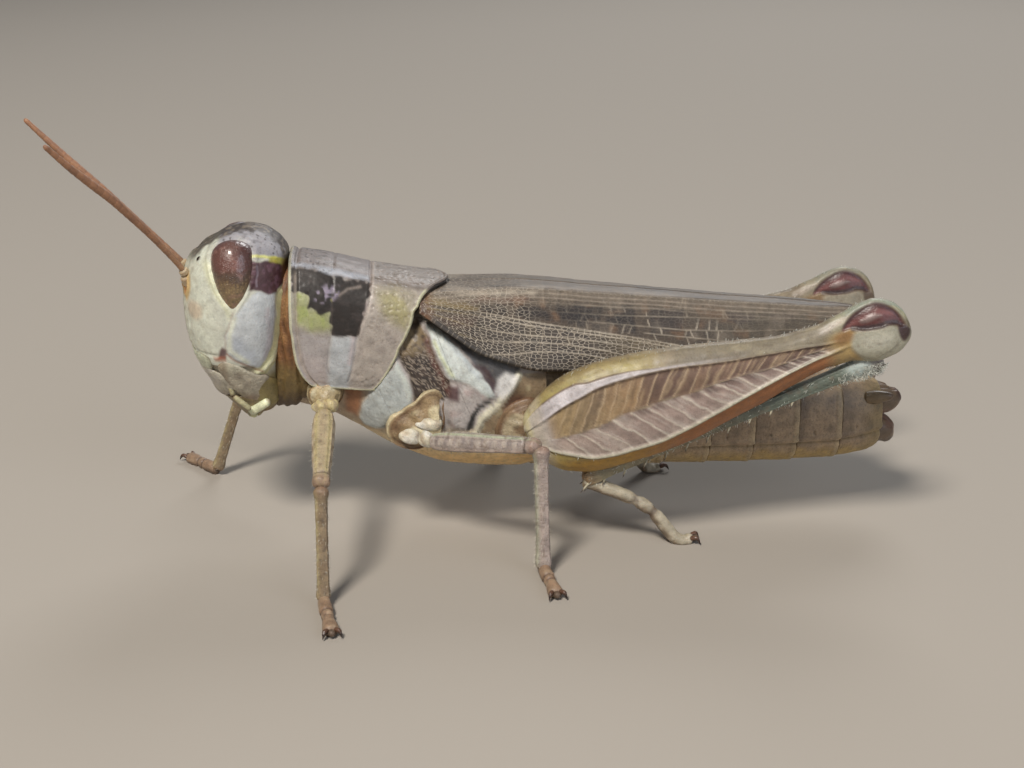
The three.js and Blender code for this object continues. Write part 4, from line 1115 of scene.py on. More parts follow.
def build_abdomen():
    """Eight rings: each swells a little to a lapped hind margin, with a folded seam along the
    flank between its back and belly plates."""
    step = (ABDOMEN_END - ABDOMEN_FRONT) / SEGMENTS
    for k in range(SEGMENTS):
        start, end = ABDOMEN_FRONT + k * step, ABDOMEN_FRONT + (k + 1) * step - 0.01
        angle = turns(170)
        s = np.linspace(0, 1, 44)[:, None]
        x = start + (end - start) * s + 0 * angle
        swell = -0.05 + 0.06 * s ** 1.3 - 0.05 * ease(0.97, 1.0, s)
        middle, half = halves(abdomen_top(x), abdomen_floor(x))
        points = np.stack([x, (abdomen_width(x) + swell) * bend(np.cos(angle), 2 / ABDOMEN_SQUARE),
                           middle + (half + swell) * bend(np.sin(angle), 2 / ABDOMEN_SQUARE)], -1)
        y, z = points[..., 1], points[..., 2]
        mirrored = np.stack([x, np.abs(y), z], -1)
        seam = through([13, 3.55], [20, 3.35], [25, 3.4], [27.6, 3.7])(x)
        height = -0.07 * hump(z - seam, 0.09) + 0.05 * hump(z - seam - 0.22, 0.12)
        height += 0.012 * grain(mirrored, 0.25, 71) - 0.012 * pits(mirrored, 0.18, 72)
        height -= 0.02 * hump(s - 0.83, 0.03)
        spiracle = np.hypot((x - start - 0.35 * step), (z - seam - 0.5))
        height += 0.03 * hump(spiracle - 0.1, 0.04) - 0.05 * ease(0.09, 0.04, spiracle)
        coat = Coat(points, "#8f7d66", 0.45)
        coat.lay("#947f66", ease(5.5, 4.2, z) * 0.7)
        coat.lay("#a0864f", ease(3.4, 2.7, z + 0.2 * grain(mirrored, 0.5, 73)))
        coat.lay("#5d4e42", blotch(mirrored, 0.4, 74) * ease(3.2, 3.8, z) * 0.5)
        coat.lay("#55473b", ease(0.35, 0.0, s) * ease(3.0, 3.6, z) * 0.5)
        # Lighter towards the front rings: painted light, laid against the shade that the thigh casts on them.
        coat.lay("#b09b7c", ease(23, 15, x) * 0.65)
        coat.lay("#a39273", ease(0.84, 0.93, s) * 0.6)
        coat.lay("#6a5a3a", hump(z - seam, 0.07) * 0.7)
        coat.lay("#3a2a22", ease(0.07, 0.03, spiracle) * 0.6)
        coat.lay("#6e6152", pits(mirrored, 0.18, 72) * 0.4)
        if k == SEGMENTS - 1:
            coat.lay("#7f6c42", ease(0.3, 0.9, s) * 0.6)
        Form().add(coat, lifted(points, height)).finish(
            f"abdomen_ring_{k + 1}", finish_named("abdomen"), "abdomen_cuticle", f"abdomen_{k + 1}")


def build_tail():
    """The egg-laying valves, a hooked pair above and one below, each split along the middle,
    and the two short tail feelers."""
    deep = through([0, 0.72], [0.45, 0.6], [0.8, 0.36], [1, 0.22])
    wide = through([0, 0.85], [0.6, 0.62], [1, 0.24])
    for name, up in (("upper", 1), ("lower", -1)):
        root = (27.3, 0, 4.75) if up > 0 else (27.3, 0, 3.5)
        bow = (27.95, 0, 4.75) if up > 0 else (27.75, 0, 3.35)
        tip = (28.45, 0, 4.95) if up > 0 else (28.1, 0, 2.9)
        t = spread(0, 1, 90, 0.6)
        close = rounded(t, 1.2, 0.12, start=False)
        points, lift, _ = tube([root, bow, tip], (0, 0, 1), deep(t) * close, deep(t) * close,
                               wide(t) * close, t, 160)
        y = points[..., 1]
        height = -0.16 * hump(y, 0.05) * ease(0.15, 0.4, t)[:, None]
        height = height - 0.05 * hump(np.abs(y) - 0.34 * (1 - t)[:, None] - 0.12, 0.06)
        height += 0.012 * grain(points, 0.15, 81)
        coat = Coat(points, "#5f4d3a", 0.36)
        coat.lay("#6b4a38", ease(-0.2, -0.8, up * lift) * 0.8)
        coat.lay("#3a211a", ease(0.72, 0.95, t)[:, None] * 0.9, 0.25)
        coat.lay("#7d6c4c", blotch(points, 0.3, 82, 0.3, 0.7) * 0.5)
        coat.lay("#5a4432", hump(y, 0.07) * 0.8)
        Form().add(coat, lifted(points, height)).finish(
            f"{name}_valves", finish_named("tail"), "tail_cuticle", f"ovipositor_{name}")
    for name, side in SIDES:
        t = spread(0, 1, 40, 0.7)
        girth = through([0, 0.24], [0.4, 0.27], [0.7, 0.22], [1, 0.12])(t) * rounded(t, 1.1, 0.14)
        points, _, _ = tube([(26.6, side * 1.02, 5.1), (27.75, side * 1.3, 5.25)], (0, 0, 1),
                            girth, girth, girth * 0.9, t, 40)
        coat = Coat(points, "#6e5c42", 0.4)
        coat.lay("#5a4030", ease(0.7, 1.0, t)[:, None] * 0.7)
        form = Form().add(coat)
        form.finish(f"{name}_tail_feeler", finish_named("tail"), "tail_cuticle", f"cercus_{name}")


# ---- Wings ----
wing_ridge = through([8.7, 10.02], [12, 10.08], [15.9, 9.76], [20, 9.34], [24, 8.98], [26.15, 8.75])
wing_fold = through([8.7, 1.35], [12, 1.08], [16, 0.85], [20, 0.66], [24.5, 0.5], [26.15, 0.2])
wing_out = through([8.7, 2.42], [10.5, 2.72], [12.6, 2.66], [15, 2.2], [20, 1.78], [24, 1.35],
                   [26.15, 0.55])
wing_low = through([8.7, 9.6], [9.4, 9.12], [10.2, 8.56], [11.0, 7.98], [11.8, 7.62], [13.3, 7.15],
                   [15, 6.95], [17, 6.9], [21.5, 7.12], [24, 7.6], [25.6, 8.15], [26.15, 8.55])
WING_BASE, WING_TIP, WING_GAP = 8.76, 26.15, 0.02
FOLD_SHARE = 0.2  # of the way from the midline to the hem
SECTION_LENGTH, FLANK_DEPTH = 4.2, 3.4  # about, in mm, for the markings
# Long veins of the flank, from the root, in side view [x, z].
LONG_VEINS = (
    ((8.94, 9.72), (10.09, 9.46), (11.16, 9.24), (12.9, 8.86), (15.3, 8.38), (17.2, 8.03),
     (18.9, 7.68), (20.6, 7.3)),
    ((9.0, 9.56), (10.09, 9.34), (11.16, 9.11), (12.9, 8.73), (15.3, 8.26), (17.2, 7.92),
     (18.7, 7.6), (20.0, 7.25)),
    ((9.3, 9.35), (10.5, 8.9), (11.72, 8.58), (13.03, 8.36), (14.23, 8.2), (16.03, 7.91),
     (17.4, 7.6), (18.6, 7.25)),
    ((10.2, 8.65), (11.0, 8.34), (12.07, 8.2), (13.03, 8.13), (14.23, 7.97), (16.03, 7.6),
     (17.4, 7.2)),
    ((11.4, 7.82), (12.3, 7.75), (13.03, 7.79), (14.23, 7.69), (15.66, 7.41), (16.6, 7.1)))
# Fainter veins of the middle field, above the first long vein, in side view too.
MIDDLE_VEINS = (
    ((9.2, 9.8), (11.5, 9.62), (13.5, 9.42), (16, 9.2), (19, 8.98), (22, 8.75), (25.6, 8.6)),
    ((9.6, 9.7), (11.5, 9.42), (13.5, 9.18), (16, 8.9), (19, 8.7), (22, 8.5), (25.4, 8.45)),
    ((12.5, 9.05), (14.5, 8.8), (17, 8.5), (19, 8.25), (21.5, 8.1), (24.5, 8.1)),
    ((17.5, 8.2), (19, 8.0), (21, 7.75), (23.5, 7.7)))


def wing_section(x, s, inset=0.0):
    """Across the wing at x: level from the midline to the fold, then down the flank to the
    hem with a slight bow; the corner between the two is eased over a short stretch."""
    def raw(share):
        top = wing_ridge(x) - inset
        fold_y, fold_z = wing_fold(x) - inset * 0.3, top - 0.05
        hem_y = wing_out(x) - inset
        hem_z = np.minimum(wing_low(x) + inset * 0.4, top - 0.25)
        a = np.clip(share / FOLD_SHARE, 0, 1)
        b = np.clip((share - FOLD_SHARE) / (1 - FOLD_SHARE), 0, 1)
        bow = 0.16 * (fold_z - hem_z) / 2.8 * 4 * b * (1 - b)
        y = WING_GAP + (fold_y - WING_GAP) * a + (hem_y - fold_y) * b + bow
        z = top + (fold_z - top) * a ** 2 + (hem_z - fold_z) * b
        return np.stack([x + 0 * s, y + 0 * s, z + 0 * s], -1)
    return sum(raw(np.clip(s + step, 0, 1)) for step in (-0.03, -0.015, 0, 0.015, 0.03)) / 5


def build_tegmen(name, side):
    """A roof-like cover: its veins are heights along the normals. Cross veins stand at jittered
    steps between each pair of long ones, and the finest net is in the membrane's material."""
    rows, cols = 390, 112
    x = WING_BASE + (WING_TIP - WING_BASE) * np.linspace(0, 1, rows)[:, None]
    s = np.linspace(0, 1, cols)[None, :]
    points = wing_section(x + 0 * s, s + 0 * x)
    z = points[..., 2]
    x = x + 0 * s
    on_flank = ease(FOLD_SHARE - 0.02, FOLD_SHARE + 0.04, s)
    wx = x + 0.05 * grain(points, 0.4, 91)
    wz = z + 0.05 * grain(points, 0.4, 92)
    long_vein = sum(stroke(x, z, vein, 0.02, 0.04) for vein in LONG_VEINS)
    long_vein = np.clip(long_vein, 0, 1) * on_flank
    faint = np.clip(sum(stroke(x, z, vein, 0.02, 0.04) for vein in MIDDLE_VEINS), 0, 1) * on_flank
    fold_vein = stroke(x, s * 5, [(9.3, 1.06), (12, 1.06), (20, 1.06), (25.8, 1.06)], 0.03, 0.05)
    # Lanes between the veins, each with its own cross veins.
    lane = sum((z < np.interp(x, *np.array(v).T)).astype(int) for v in LONG_VEINS + MIDDLE_VEINS)
    first_vein = np.interp(x, *np.array(LONG_VEINS[0]).T)
    pitch = np.where(z > first_vein, 0.43, 0.34)
    cell = np.floor(x / pitch).astype(np.int64)
    near, mid_lane = 9.0, first_vein + 0.3
    for step in (-1, 0, 1):
        spot = (cell + step + 0.5 + 0.7 * (scatter(np.stack(
            [cell + step, lane, 0 * lane], -1), 93) - 0.5)) * pitch
        tilt = 1.2 * (scatter(np.stack([cell + step, lane, 0 * lane + 5], -1), 88) - 0.5)
        near = np.minimum(near, np.abs(x - spot + tilt * (z - mid_lane)))
    there = ease(0.35, 0.6, scatter(np.stack([cell, lane, 0 * lane + 3], -1), 94))
    cross = ease(0.045, 0.012, near) * on_flank * there
    middle_field = on_flank * ease(-0.05, 0.08, z - first_vein)
    costal = on_flank * (1 - middle_field)
    cross_costal = cross * costal * ease(12.2, 13.2, x)
    cross_middle = cross * middle_field * ease(10.8, 11.6, x) * ease(25, 22, x)

    height = 0.035 * long_vein + 0.015 * faint + 0.02 * fold_vein
    height = height + 0.015 * cross_costal + 0.012 * cross_middle
    height += 0.012 * grain(points, 0.35, 95)
    height += 0.03 * ease(0.985, 1.0, s) + 0.015 * hump(s - 0.01, 0.012)
    dorsal = 1 - on_flank
    streak = grain(np.stack([x * 0.25, s * SECTION_LENGTH * 3 + 0 * x, 0 * x], -1), 0.5, 97)
    height += 0.012 * dorsal * streak

    coat = Coat(points, "#655c50", 0.42)
    coat.lay("#5a5045", dorsal)
    coat.lay("#453e38", dorsal * ease(0.0, 0.6, streak) * 0.7)
    coat.lay("#736658", dorsal * ease(0.1, 0.6, -streak) * ease(0.4, 0.9, s / FOLD_SHARE) * 0.6)
    coat.lay("#42362a", middle_field * 0.95)
    coat.lay("#4c4439", middle_field * ease(18, 22, x) * 0.8)
    ragged = x + 0.2 * grain(points, 0.35, 106), z + 0.15 * grain(points, 0.3, 107)
    blots = sum(patch(*ragged, corners, 0.1) for corners in (
        [(11.0, 9.5), (12.0, 9.45), (12.1, 9.1), (11.2, 9.25)],
        [(12.4, 9.4), (13.9, 9.25), (13.9, 8.8), (12.5, 8.95)],
        [(14.1, 9.35), (15.75, 9.25), (15.8, 8.45), (14.2, 8.7)],
        [(16.1, 9.35), (17.2, 9.2), (17.1, 8.3), (16.0, 8.4)],
        [(17.7, 9.0), (19.1, 8.9), (19.0, 8.2), (17.7, 8.25)],
        [(20.8, 8.9), (21.9, 8.85), (21.8, 8.4), (20.9, 8.4)],
        [(22.6, 8.8), (23.8, 8.7), (23.7, 8.35), (22.6, 8.4)]))
    coat.lay("#66492f", middle_field * blotch(points, 0.45, 108, 0.2, 0.7) * 0.55)
    coat.lay("#1f1612", np.clip(blots, 0, 1) * middle_field * ease(24, 17, x)
             * blotch(points, 0.3, 110, -0.9, 0.0))
    coat.lay("#463c36", np.clip(blots, 0, 1) * middle_field * ease(16, 22, x) * 0.8)
    coat.lay("#74695c", middle_field * blotch(points, 0.5, 104, 0.2, 0.7) * ease(14, 17, x) * 0.5)
    below = wing_ridge(x) - 0.05 - z
    coat.lay("#6a5f52", on_flank * ease(0.62, 0.1, below) * 0.85)
    coat.lay("#938778", on_flank * ease(0.75, 0.3, below) * ease(0.1, 0.9, np.sin(2 * np.pi * (
        below + 0.03 * grain(points, 1.5, 109)) / 0.15)) * 0.5)
    coat.lay("#6a4a3c", patch(wx, wz, [(11.0, 9.75), (13.0, 9.68), (13.0, 9.5), (10.8, 9.6)], 0.1)
             * middle_field * 0.4)
    coat.lay("#a99f90", patch(wx, wz, [(9.8, 9.98), (13.6, 9.92), (13.2, 9.75), (10.3, 9.82)], 0.1) * 0.55)
    coat.lay("#7d6a3e", patch(wx, wz, [(8.8, 9.9), (10.0, 9.65), (11.0, 9.4), (10.4, 9.15),
                                       (9.4, 9.3), (8.9, 9.5)], 0.15) * 0.75)
    coat.lay("#3a322b", costal * 0.95)
    coat.lay("#544a3c", costal * blotch(points, 0.5, 98, 0.1) * 0.5)
    coat.lay("#574238", costal * patch(wx, wz, [(9.2, 9.4), (10.9, 9.1), (10.6, 8.7), (9.5, 9.0)], 0.15)
             * 0.5)
    coat.lay("#3f3a36", costal * ease(0.14, 0.05, (1 - s) * FLANK_DEPTH) * ease(13.2, 11.6, x))
    coat.lay("#6b5f4c", costal * ease(15.0, 17.0, x) * 0.6)
    coat.lay("#74502f", ease(9.4, 8.95, wx) * on_flank * ease(9.0, 9.4, z) * 0.75)
    coat.lay("#4a2f22", ease(9.1, 8.85, wx) * on_flank * 0.8)
    coat.lay("#aea28f", long_vein * ease(9.8, 12.0, x) * 0.85)
    coat.lay("#8a7748", long_vein * ease(11.5, 9.5, x) * 0.8)
    coat.lay("#cbc1b1", long_vein * ease(11.0, 12.5, x) * blotch(points, 1.2, 105, -0.6, 0.4) * 0.6)
    clear = 0.3 + 0.55 * hump(x - 19.0, 3.0) * ease(1.1, 0.6, z - mid_lane + 0.3)
    clear = clear * blotch(points, 0.8, 99, -0.3)
    coat.lay("#9a8e7c", np.maximum(cross_costal * 0.45, cross_middle * clear))
    ladder = hump(x - 19.0, 2.4) * ease(1.3, 0.8, z - mid_lane + 0.3)
    coat.lay("#b3a897", np.maximum(cross_middle, faint) * ladder * 0.7)
    coat.lay("#8f8474", faint * 0.5 * blotch(points, 1.0, 89, -0.8, 0.2))
    coat.lay("#958b7e", fold_vein * 0.6)
    # How strongly the membrane's fine net shows: most at the root, by the hem and on the back.
    net = costal * ease(12.8, 11.0, x) + 0.45 * costal * ease(11.0, 12.0, x)
    net = net * (0.35 + 0.65 * ease(0.0, 0.25, (1 - s) * FLANK_DEPTH))
    net = net + 0.5 * middle_field * ease(13.6, 12.4, x) + 0.1 * middle_field
    net = net + 0.35 * costal * ease(12, 13, x) + 0.3 * dorsal * ease(13.5, 11.5, x)
    net = net * (0.8 + 0.3 * grain(points, 0.6, 100))
    lay = np.stack([x, s * SECTION_LENGTH + 0 * x, np.clip(net, 0, 1)], -1)
    raised = lifted(points, height, ring=False)
    raised[..., 1] *= side
    Form().add(coat, raised, lay=lay, closed=False).finish(
        f"{name}_tegmen_cover", wing_membrane(), "tegmen_membrane", f"tegmen_{name}", wall=0.16)


# ---- Walking legs ----
LEGS = {
    ("fore", "left"): ((4.98, -2.72, 5.62), (5.0, -7.1, 4.4), (4.97, -7.9, 0.24), (5.35, -10.3, 0.17)),
    ("fore", "right"): ((4.98, 2.72, 5.62), (1.2, 5.0, 4.5), (-0.25, 5.15, 0.24), (-1.7, 6.9, 0.17)),
    ("mid", "left"): ((9.1, -2.85, 4.4), (13.1, -5.45, 5.08), (13.2, -5.75, 0.24), (13.5, -7.9, 0.17)),
    ("mid", "right"): ((9.1, 2.85, 4.4), (12.2, 6.2, 5.0), (12.6, 6.9, 0.24), (13.5, 8.9, 0.17)),
}
# The hip joints: the side-view corners [x, z] from which each rises off the flank, how far out
# its rim stands, how deep the hollow inside the rim is, and where it ends.
COXAE = {
    "fore": (((4.25, 6.2), (4.5, 6.6), (5.1, 6.7), (5.6, 6.5), (5.7, 6.0), (5.4, 5.6), (4.9, 5.5),
              (4.4, 5.7)), 1.85, -0.3, (4.98, 2.45, 5.9)),
    "mid": (((7.33, 4.75), (7.49, 5.25), (7.95, 5.55), (8.47, 5.88), (9.2, 6.45), (9.5, 6.3),
             (9.52, 5.6), (9.45, 4.7), (8.9, 4.1), (8.2, 4.0), (7.6, 4.25)), 2.66, 0.0, (9.0, 2.95, 4.75)),
    "hind": (((11.5, 4.6), (11.8, 5.3), (12.3, 5.7), (13.0, 5.9), (13.5, 5.6), (13.6, 4.8), (13.2, 4.0),
              (12.4, 3.7), (11.8, 3.95)), 2.5, -0.25, (12.9, 3.0, 4.85)),
}
# How the hips are coloured: all over, on the rim, and in the hollow, where the dark is partly their own brown
# and partly painted shade; and the depth of their folds.
HIP_COLOURS = {"fore": ("#a79672", "#c6bfa4", "#85643e"), "mid": ("#957f5e", "#cbbf9c", "#6a4a34"),
               "hind": ("#806a50", "#b3a68a", "#5c3c2c")}
HIP_FOLDS = {"fore": 0.008, "mid": 0.03, "hind": 0.02}
HIP_RIM_PALE = {"fore": 0.4, "mid": 1, "hind": 0}
# The small joint's lobes at each hip: [place, radii].
TROCHANTER = {
    "fore": (((4.8, 2.5, 5.8), (0.32, 0.3, 0.26)), ((5.2, 2.5, 5.85), (0.32, 0.3, 0.26))),
    "mid": (((8.27, 2.72, 4.6), (0.46, 0.3, 0.34)), ((8.84, 2.8, 4.52), (0.36, 0.32, 0.38)),
            ((8.98, 2.74, 5.08), (0.52, 0.34, 0.25))),
    "hind": (),
}


def spikes(form, roots, tips, radius, colour, tip_colour):
    """Movable spines: slender cones of five rings, dark at the point."""
    for root, tip in zip(roots, tips):
        t = np.array([0, 0.15, 0.5, 0.8, 1.0])
        girth = radius * np.array([0.7, 1.0, 0.75, 0.4, 0.08])
        points = rod([root, tip], (0.3, 0.2, 1), girth, t, 7)
        coat = Coat(points, colour, 0.35)
        coat.lay(tip_colour, ease(0.55, 0.85, t)[:, None])
        form.add(coat)


def leg_spines(form, joints, up, girth, places, turn, length, radius, lean, colour, tip_colour):
    """A row of spines down a leg: each stands on the surface at an angle round the leg and
    leans along it."""
    t = np.asarray(places)
    line = route(joints, t)
    along = np.array(joints[-1], float) - np.array(joints[0], float)
    along /= np.linalg.norm(along)
    out = np.cross(along, up)
    out /= np.linalg.norm(out)
    high = np.cross(out, along)
    way = math.cos(turn) * out + math.sin(turn) * high
    roots = line + way * (girth * 0.85)
    tips = roots + (way * math.cos(lean) + along * math.sin(lean)) * length
    spikes(form, roots, tips, radius, colour, tip_colour)


def build_foot(form, joints, colours, rows=84):
    """Three foot joints with pads below, a pair of curved claws and the pad between them; the
    whole is cut level where it meets the floor."""
    t = spread(0, 1, rows, 0.3)
    length = sum(math.dist(a, b) for a, b in zip(joints[:-1], joints[1:]))
    height = through([0, 0.3], [0.3, 0.26], [0.8, 0.26], [1, 0.22])(t)
    half = 0.88 * through([0, 0.25], [0.3, 0.29], [0.6, 0.25], [0.88, 0.33], [1, 0.26])(t)
    waist = 1 - 0.28 * hump(t - 0.42, 0.03) - 0.28 * hump(t - 0.58, 0.03)
    close = rounded(t, length, 0.15)
    points, lift, _ = tube(joints, (0, 0, 1), height * waist * close, height * waist * close,
                           half * waist * close, t, 48)
    points = floored(points)
    coat = Coat(points, colours[0], 0.42)
    coat.lay(colours[1], ease(0.2, -0.5, lift) * 0.8)
    coat.lay("#4a352a", (hump(t - 0.42, 0.03) + hump(t - 0.58, 0.03))[:, None] * 0.7)
    coat.lay(colours[2], blotch(points, 0.25, 101) * 0.5)
    height = 0.012 * grain(points, 0.15, 102) * (points[..., 2] > 0.01)
    form.add(coat, lifted(points, height))
    end, before = np.array(joints[-1], float), np.array(joints[-2], float)
    along = (end - before) * [1, 1, 0]
    along /= np.linalg.norm(along)
    out = np.array([-along[1], along[0], 0])
    for turn in (-1, 1):
        t = np.linspace(0, 1, 20)
        girth = through([0, 0.1], [0.5, 0.075], [1, 0.012])(t)
        start = end + out * turn * 0.14 + [0, 0, 0.06]
        claw = [start - along * 0.1, start + along * 0.12 + out * turn * 0.12 + [0, 0, 0.06],
                start + along * 0.26 + out * turn * 0.2 + [0, 0, -0.15]]
        points = rod(claw, (0, 0, 1), girth, t, 10)
        points = floored(points)
        coat = Coat(points, "#5e4334", 0.25)
        coat.lay("#241813", ease(0.4, 0.8, t)[:, None])
        form.add(coat)
    t = spread(0, 1, 16, 0.8)
    girth = 0.13 * rounded(t, 0.4, 0.15)
    points = rod([end - along * 0.1, end + along * 0.22 + [0, 0, 0.05]], (0, 0, 1), girth, t, 20)
    points = floored(points)
    form.add(Coat(points, "#5b4a3c", 0.5))


def build_coxa(pair, name, side):
    """A hip joint: rings parallel to the flank, from an outline on it to a small circle at the hip. How far
    out a ring lies follows a profile that stands a rim up round a hollow. At the fore and middle hips, the
    small joint beyond it is two or three furrowed ellipsoids, drawn in towards the front."""
    outline, rim, hollow, hip = COXAE[pair]
    middle, around, radius = polar_outline(outline, 96)
    hip = np.array(hip)
    t = spread(0, 1, 56, 0.2)[:, None]
    share = through([0, 1.02], [0.12, 1.0], [0.2, 0.93], [0.5, 0.62], [0.8, 0.42], [0.95, 0.25],
                    [1, 0.04])(t)
    out = through([0, rim - 0.7], [0.12, rim - 0.03], [0.17, rim], [0.3, rim - hollow],
                  [0.6, (rim + hip[1]) / 2 - hollow * 0.4], [0.95, hip[1] - 0.02], [1, hip[1]])(t)
    centre = middle + (hip[[0, 2]] - middle) * ease(0.1, 0.9, t)
    reach = share * radius
    front_rim = ease(-0.3, 0.6, np.cos(around - 2.3)) + 0 * t
    out = out - 0.16 * (1 - front_rim) * ease(0.08, 0.16, t) * ease(0.6, 0.3, t)
    points = np.stack([centre[:, :1] + reach * np.cos(around), side * out + 0 * reach,
                       centre[:, 1:] + reach * np.sin(around)], -1)
    height = 0.03 * grain(points, 0.3, 111) - 0.01 * pits(points, 0.18, 112)
    height = height + 0.06 * grain(points, 0.7, 119)
    folds = np.sin(around * 7 + 2 * grain(points, 0.5, 117))
    height = height + HIP_FOLDS[pair] * folds * ease(0.2, 0.3, t) * ease(0.95, 0.7, t)
    base, pale, dark = HIP_COLOURS[pair]
    coat = Coat(points, base, 0.42)
    # Dark brown in the hollow inside the rim: partly its own colour, partly painted shade.
    coat.lay(dark, hump(t - 0.32, 0.1) * blotch(points, 0.5, 113, -0.3, 0.5) * 0.7)
    coat.lay("#664834", ease(0.3, 0.05, t) * (1 - (pair != "hind") * front_rim) * 0.8)
    worn = 0.65 + 0.35 * grain(points, 0.3, 120)
    coat.lay(pale, ease(0.21, 0.15, t) * front_rim * worn * HIP_RIM_PALE[pair])
    coat.lay(pale, blotch(points, 0.4, 114, -0.1, 0.5) * ease(0.28, 0.42, t) * 0.8)
    coat.lay("#5a3f2c", hump(t - 0.25, 0.02) * 0.5)
    form = Form().add(coat, lifted(points, height))
    for place, radii in TROCHANTER[pair]:
        polar = np.linspace(0.03, np.pi - 0.03, 34)[:, None]
        spin = turns(44)
        ball = np.stack([np.cos(polar) + 0 * spin, np.sin(polar) * np.cos(spin),
                         np.sin(polar) * np.sin(spin)], -1)
        ball = bend(ball, 0.8)
        ball[..., 1:] *= (0.55 + 0.45 * ease(-1, 0.1, ball[..., :1]))
        furrow = np.sin(ball[..., 0] * 6 + 2 * ball[..., 2] + 2 * grain(ball, 0.8, 118))
        ball = ball * radii + np.array(place) * [1, side, 1]
        coat = Coat(ball, "#c9c1ac" if pair == "mid" else "#b9ab80", 0.4)
        # Darker in the troughs of the furrows: painted shade in the creases.
        coat.lay("#a08d76", ease(0.0, -0.9, furrow) * 0.6)
        coat.lay("#dcdad2", blotch(ball, 0.3, 115, 0.0, 0.5) * 0.6)
        form.add(coat, lifted(ball, 0.012 * furrow + 0.02 * grain(ball, 0.2, 116)))
    form.finish(f"{pair}_coxa_{name}_joint", finish_named("leg"), "walking_leg_cuticle",
                f"{pair}_coxa_{name}")


# All over the thigh, on its keel, its bars, and all over the shin.
LEG_COLOURS = {"fore": ("#a4947a", "#b0a478", "#75604a", "#85745c"),
               "mid": ("#a1958e", "#a0a88e", "#50464c", "#a3958d")}
# How slim the thigh is, its bars' step in mm, how thick the shin is, how strong its bars are.
LEG_MEASURES = {"fore": (0.88, 0.75, 1, 0.4), "mid": (0.97, 0.4, 1.2, 0.15)}


def build_walking_leg(pair, name, side):
    """Thigh, shin and foot of a fore or middle leg, with keels, bands, spines and claws."""
    hip, knee, ankle, toe = LEGS[pair, name]
    base, pale, dark, shin = LEG_COLOURS[pair]
    slim, bar_step, shin_size, shin_bars = LEG_MEASURES[pair]
    t = spread(0, 1, 120, 0.3)
    length = math.dist(hip, knee)
    deep = slim * through([0, 0.36], [0.2, 0.5], [0.65, 0.43], [0.86, 0.36], [0.95, 0.38], [1, 0.26])(t)
    half = slim * through([0, 0.33], [0.25, 0.39], [0.8, 0.32], [0.94, 0.33], [1, 0.24])(t)
    close = rounded(t, length, 0.18)
    points, lift, wide = tube([hip, knee], (1, 0, 0), deep * close, deep * close, half * close, t, 76)
    at, top = t[:, None], -side * wide
    body = ease(0.03, 0.1, at) * ease(0.9, 0.84, at)
    height = 0.05 * (hump(top - 0.9, 0.08) + hump(np.abs(lift) - 0.75, 0.08)) * body
    height -= 0.04 * (hump(top - 0.55, 0.1) * (lift < 0)) * body
    height -= 0.05 * hump(at - 0.885, 0.012)
    height += 0.012 * grain(points, 0.2, 121) - 0.008 * pits(points, 0.16, 122)
    coat = Coat(points, base, 0.42)
    wave = np.sin(at * length * 2 * np.pi / bar_step + 1.3 * grain(points, 0.7, 129))
    bars = ease(-0.2, 0.5, wave + 0.5 * grain(points, 0.3, 123))
    strength = 0.4 + 0.3 * grain(points, 0.9, 130)
    coat.lay(dark, bars * ease(0.72, 0.55, top) * ease(-0.5, 0.1, top) * body * strength)
    between = 0.8 - 0.6 * bars
    coat.lay("#b0a598", between * ease(0.7, 0.5, top) * ease(-0.4, 0.0, top) * body * 0.5)
    coat.lay(dark, blotch(points, 0.5, 125, 0.1) * ease(0.75, 0.5, top) * body * 0.35)
    coat.lay(pale, hump(top - 0.84, 0.11) * 0.8)
    coat.lay("#a08e82", hump(top + 0.6, 0.14) * 0.5)
    coat.lay("#8a6c5a", ease(0.88, 0.95, at) * 0.6)
    coat.lay("#4a3830", hump(at - 0.885, 0.012) * 0.7)
    coat.lay("#6b584a", blotch(points, 0.13, 124, 0.3, 0.8) * 0.5)
    SKINS[f"{pair}_thigh_{name}"] = lifted(points, height)
    Form().add(coat, SKINS[f"{pair}_thigh_{name}"]).finish(
        f"{pair}_femur_{name}_thigh", finish_named("leg"), "walking_leg_cuticle", f"{pair}_femur_{name}")

    t = spread(0, 1, 120, 0.3)
    length = math.dist(knee, ankle)
    girth = through([0, 0.25], [0.06, 0.28], [0.14, 0.23], [0.5, 0.22], [0.85, 0.23], [0.96, 0.27],
                    [1, 0.24])(t) * rounded(t, length, 0.18) * shin_size
    points, lift, wide = tube([knee, ankle], (1, 0, 0), girth, girth, girth, t, 60)
    points = floored(points)
    at = t[:, None]
    ridge = sum(hump(np.abs(a) - 0.72, 0.1) for a in (lift, wide)) * ease(0.1, 0.2, at)
    height = 0.022 * ridge + 0.01 * grain(points, 0.2, 126)
    coat = Coat(points, shin, 0.42)
    coat.lay(pale, hump(lift + 0.8, 0.3) * 0.6)
    coat.lay("#8a6c5a", np.maximum(ease(0.1, 0.0, t), ease(0.93, 1.0, t))[:, None] * 0.7)
    coat.lay(dark, ease(0.1, 0.6, np.sin(t * length * 2 * np.pi / 0.9)[:, None]
                        + grain(points, 0.25, 127)) * shin_bars)
    coat.lay("#5f4f40", blotch(points, 0.12, 128, 0.35, 0.8) * 0.5)
    SKINS[f"{pair}_shin_{name}"] = lifted(points, height)
    form = Form().add(coat, SKINS[f"{pair}_shin_{name}"])
    for turn in (2.6, 3.7):
        leg_spines(form, [knee, ankle], (1, 0, 0), 0.22, np.linspace(0.35, 0.93, 6), turn, 0.26, 0.035,
                   0.75, "#b9a98c", "#3a261c")
    form.finish(f"{pair}_tibia_{name}_shin", finish_named("leg"), "walking_leg_cuticle",
                f"{pair}_tibia_{name}")
    form = Form()
    build_foot(form, [ankle, toe], ("#8f7660", "#5c4a3c", "#a8937a"))
    form.finish(f"{pair}_tarsus_{name}_foot", finish_named("leg"), "walking_leg_cuticle",
                f"{pair}_tarsus_{name}")


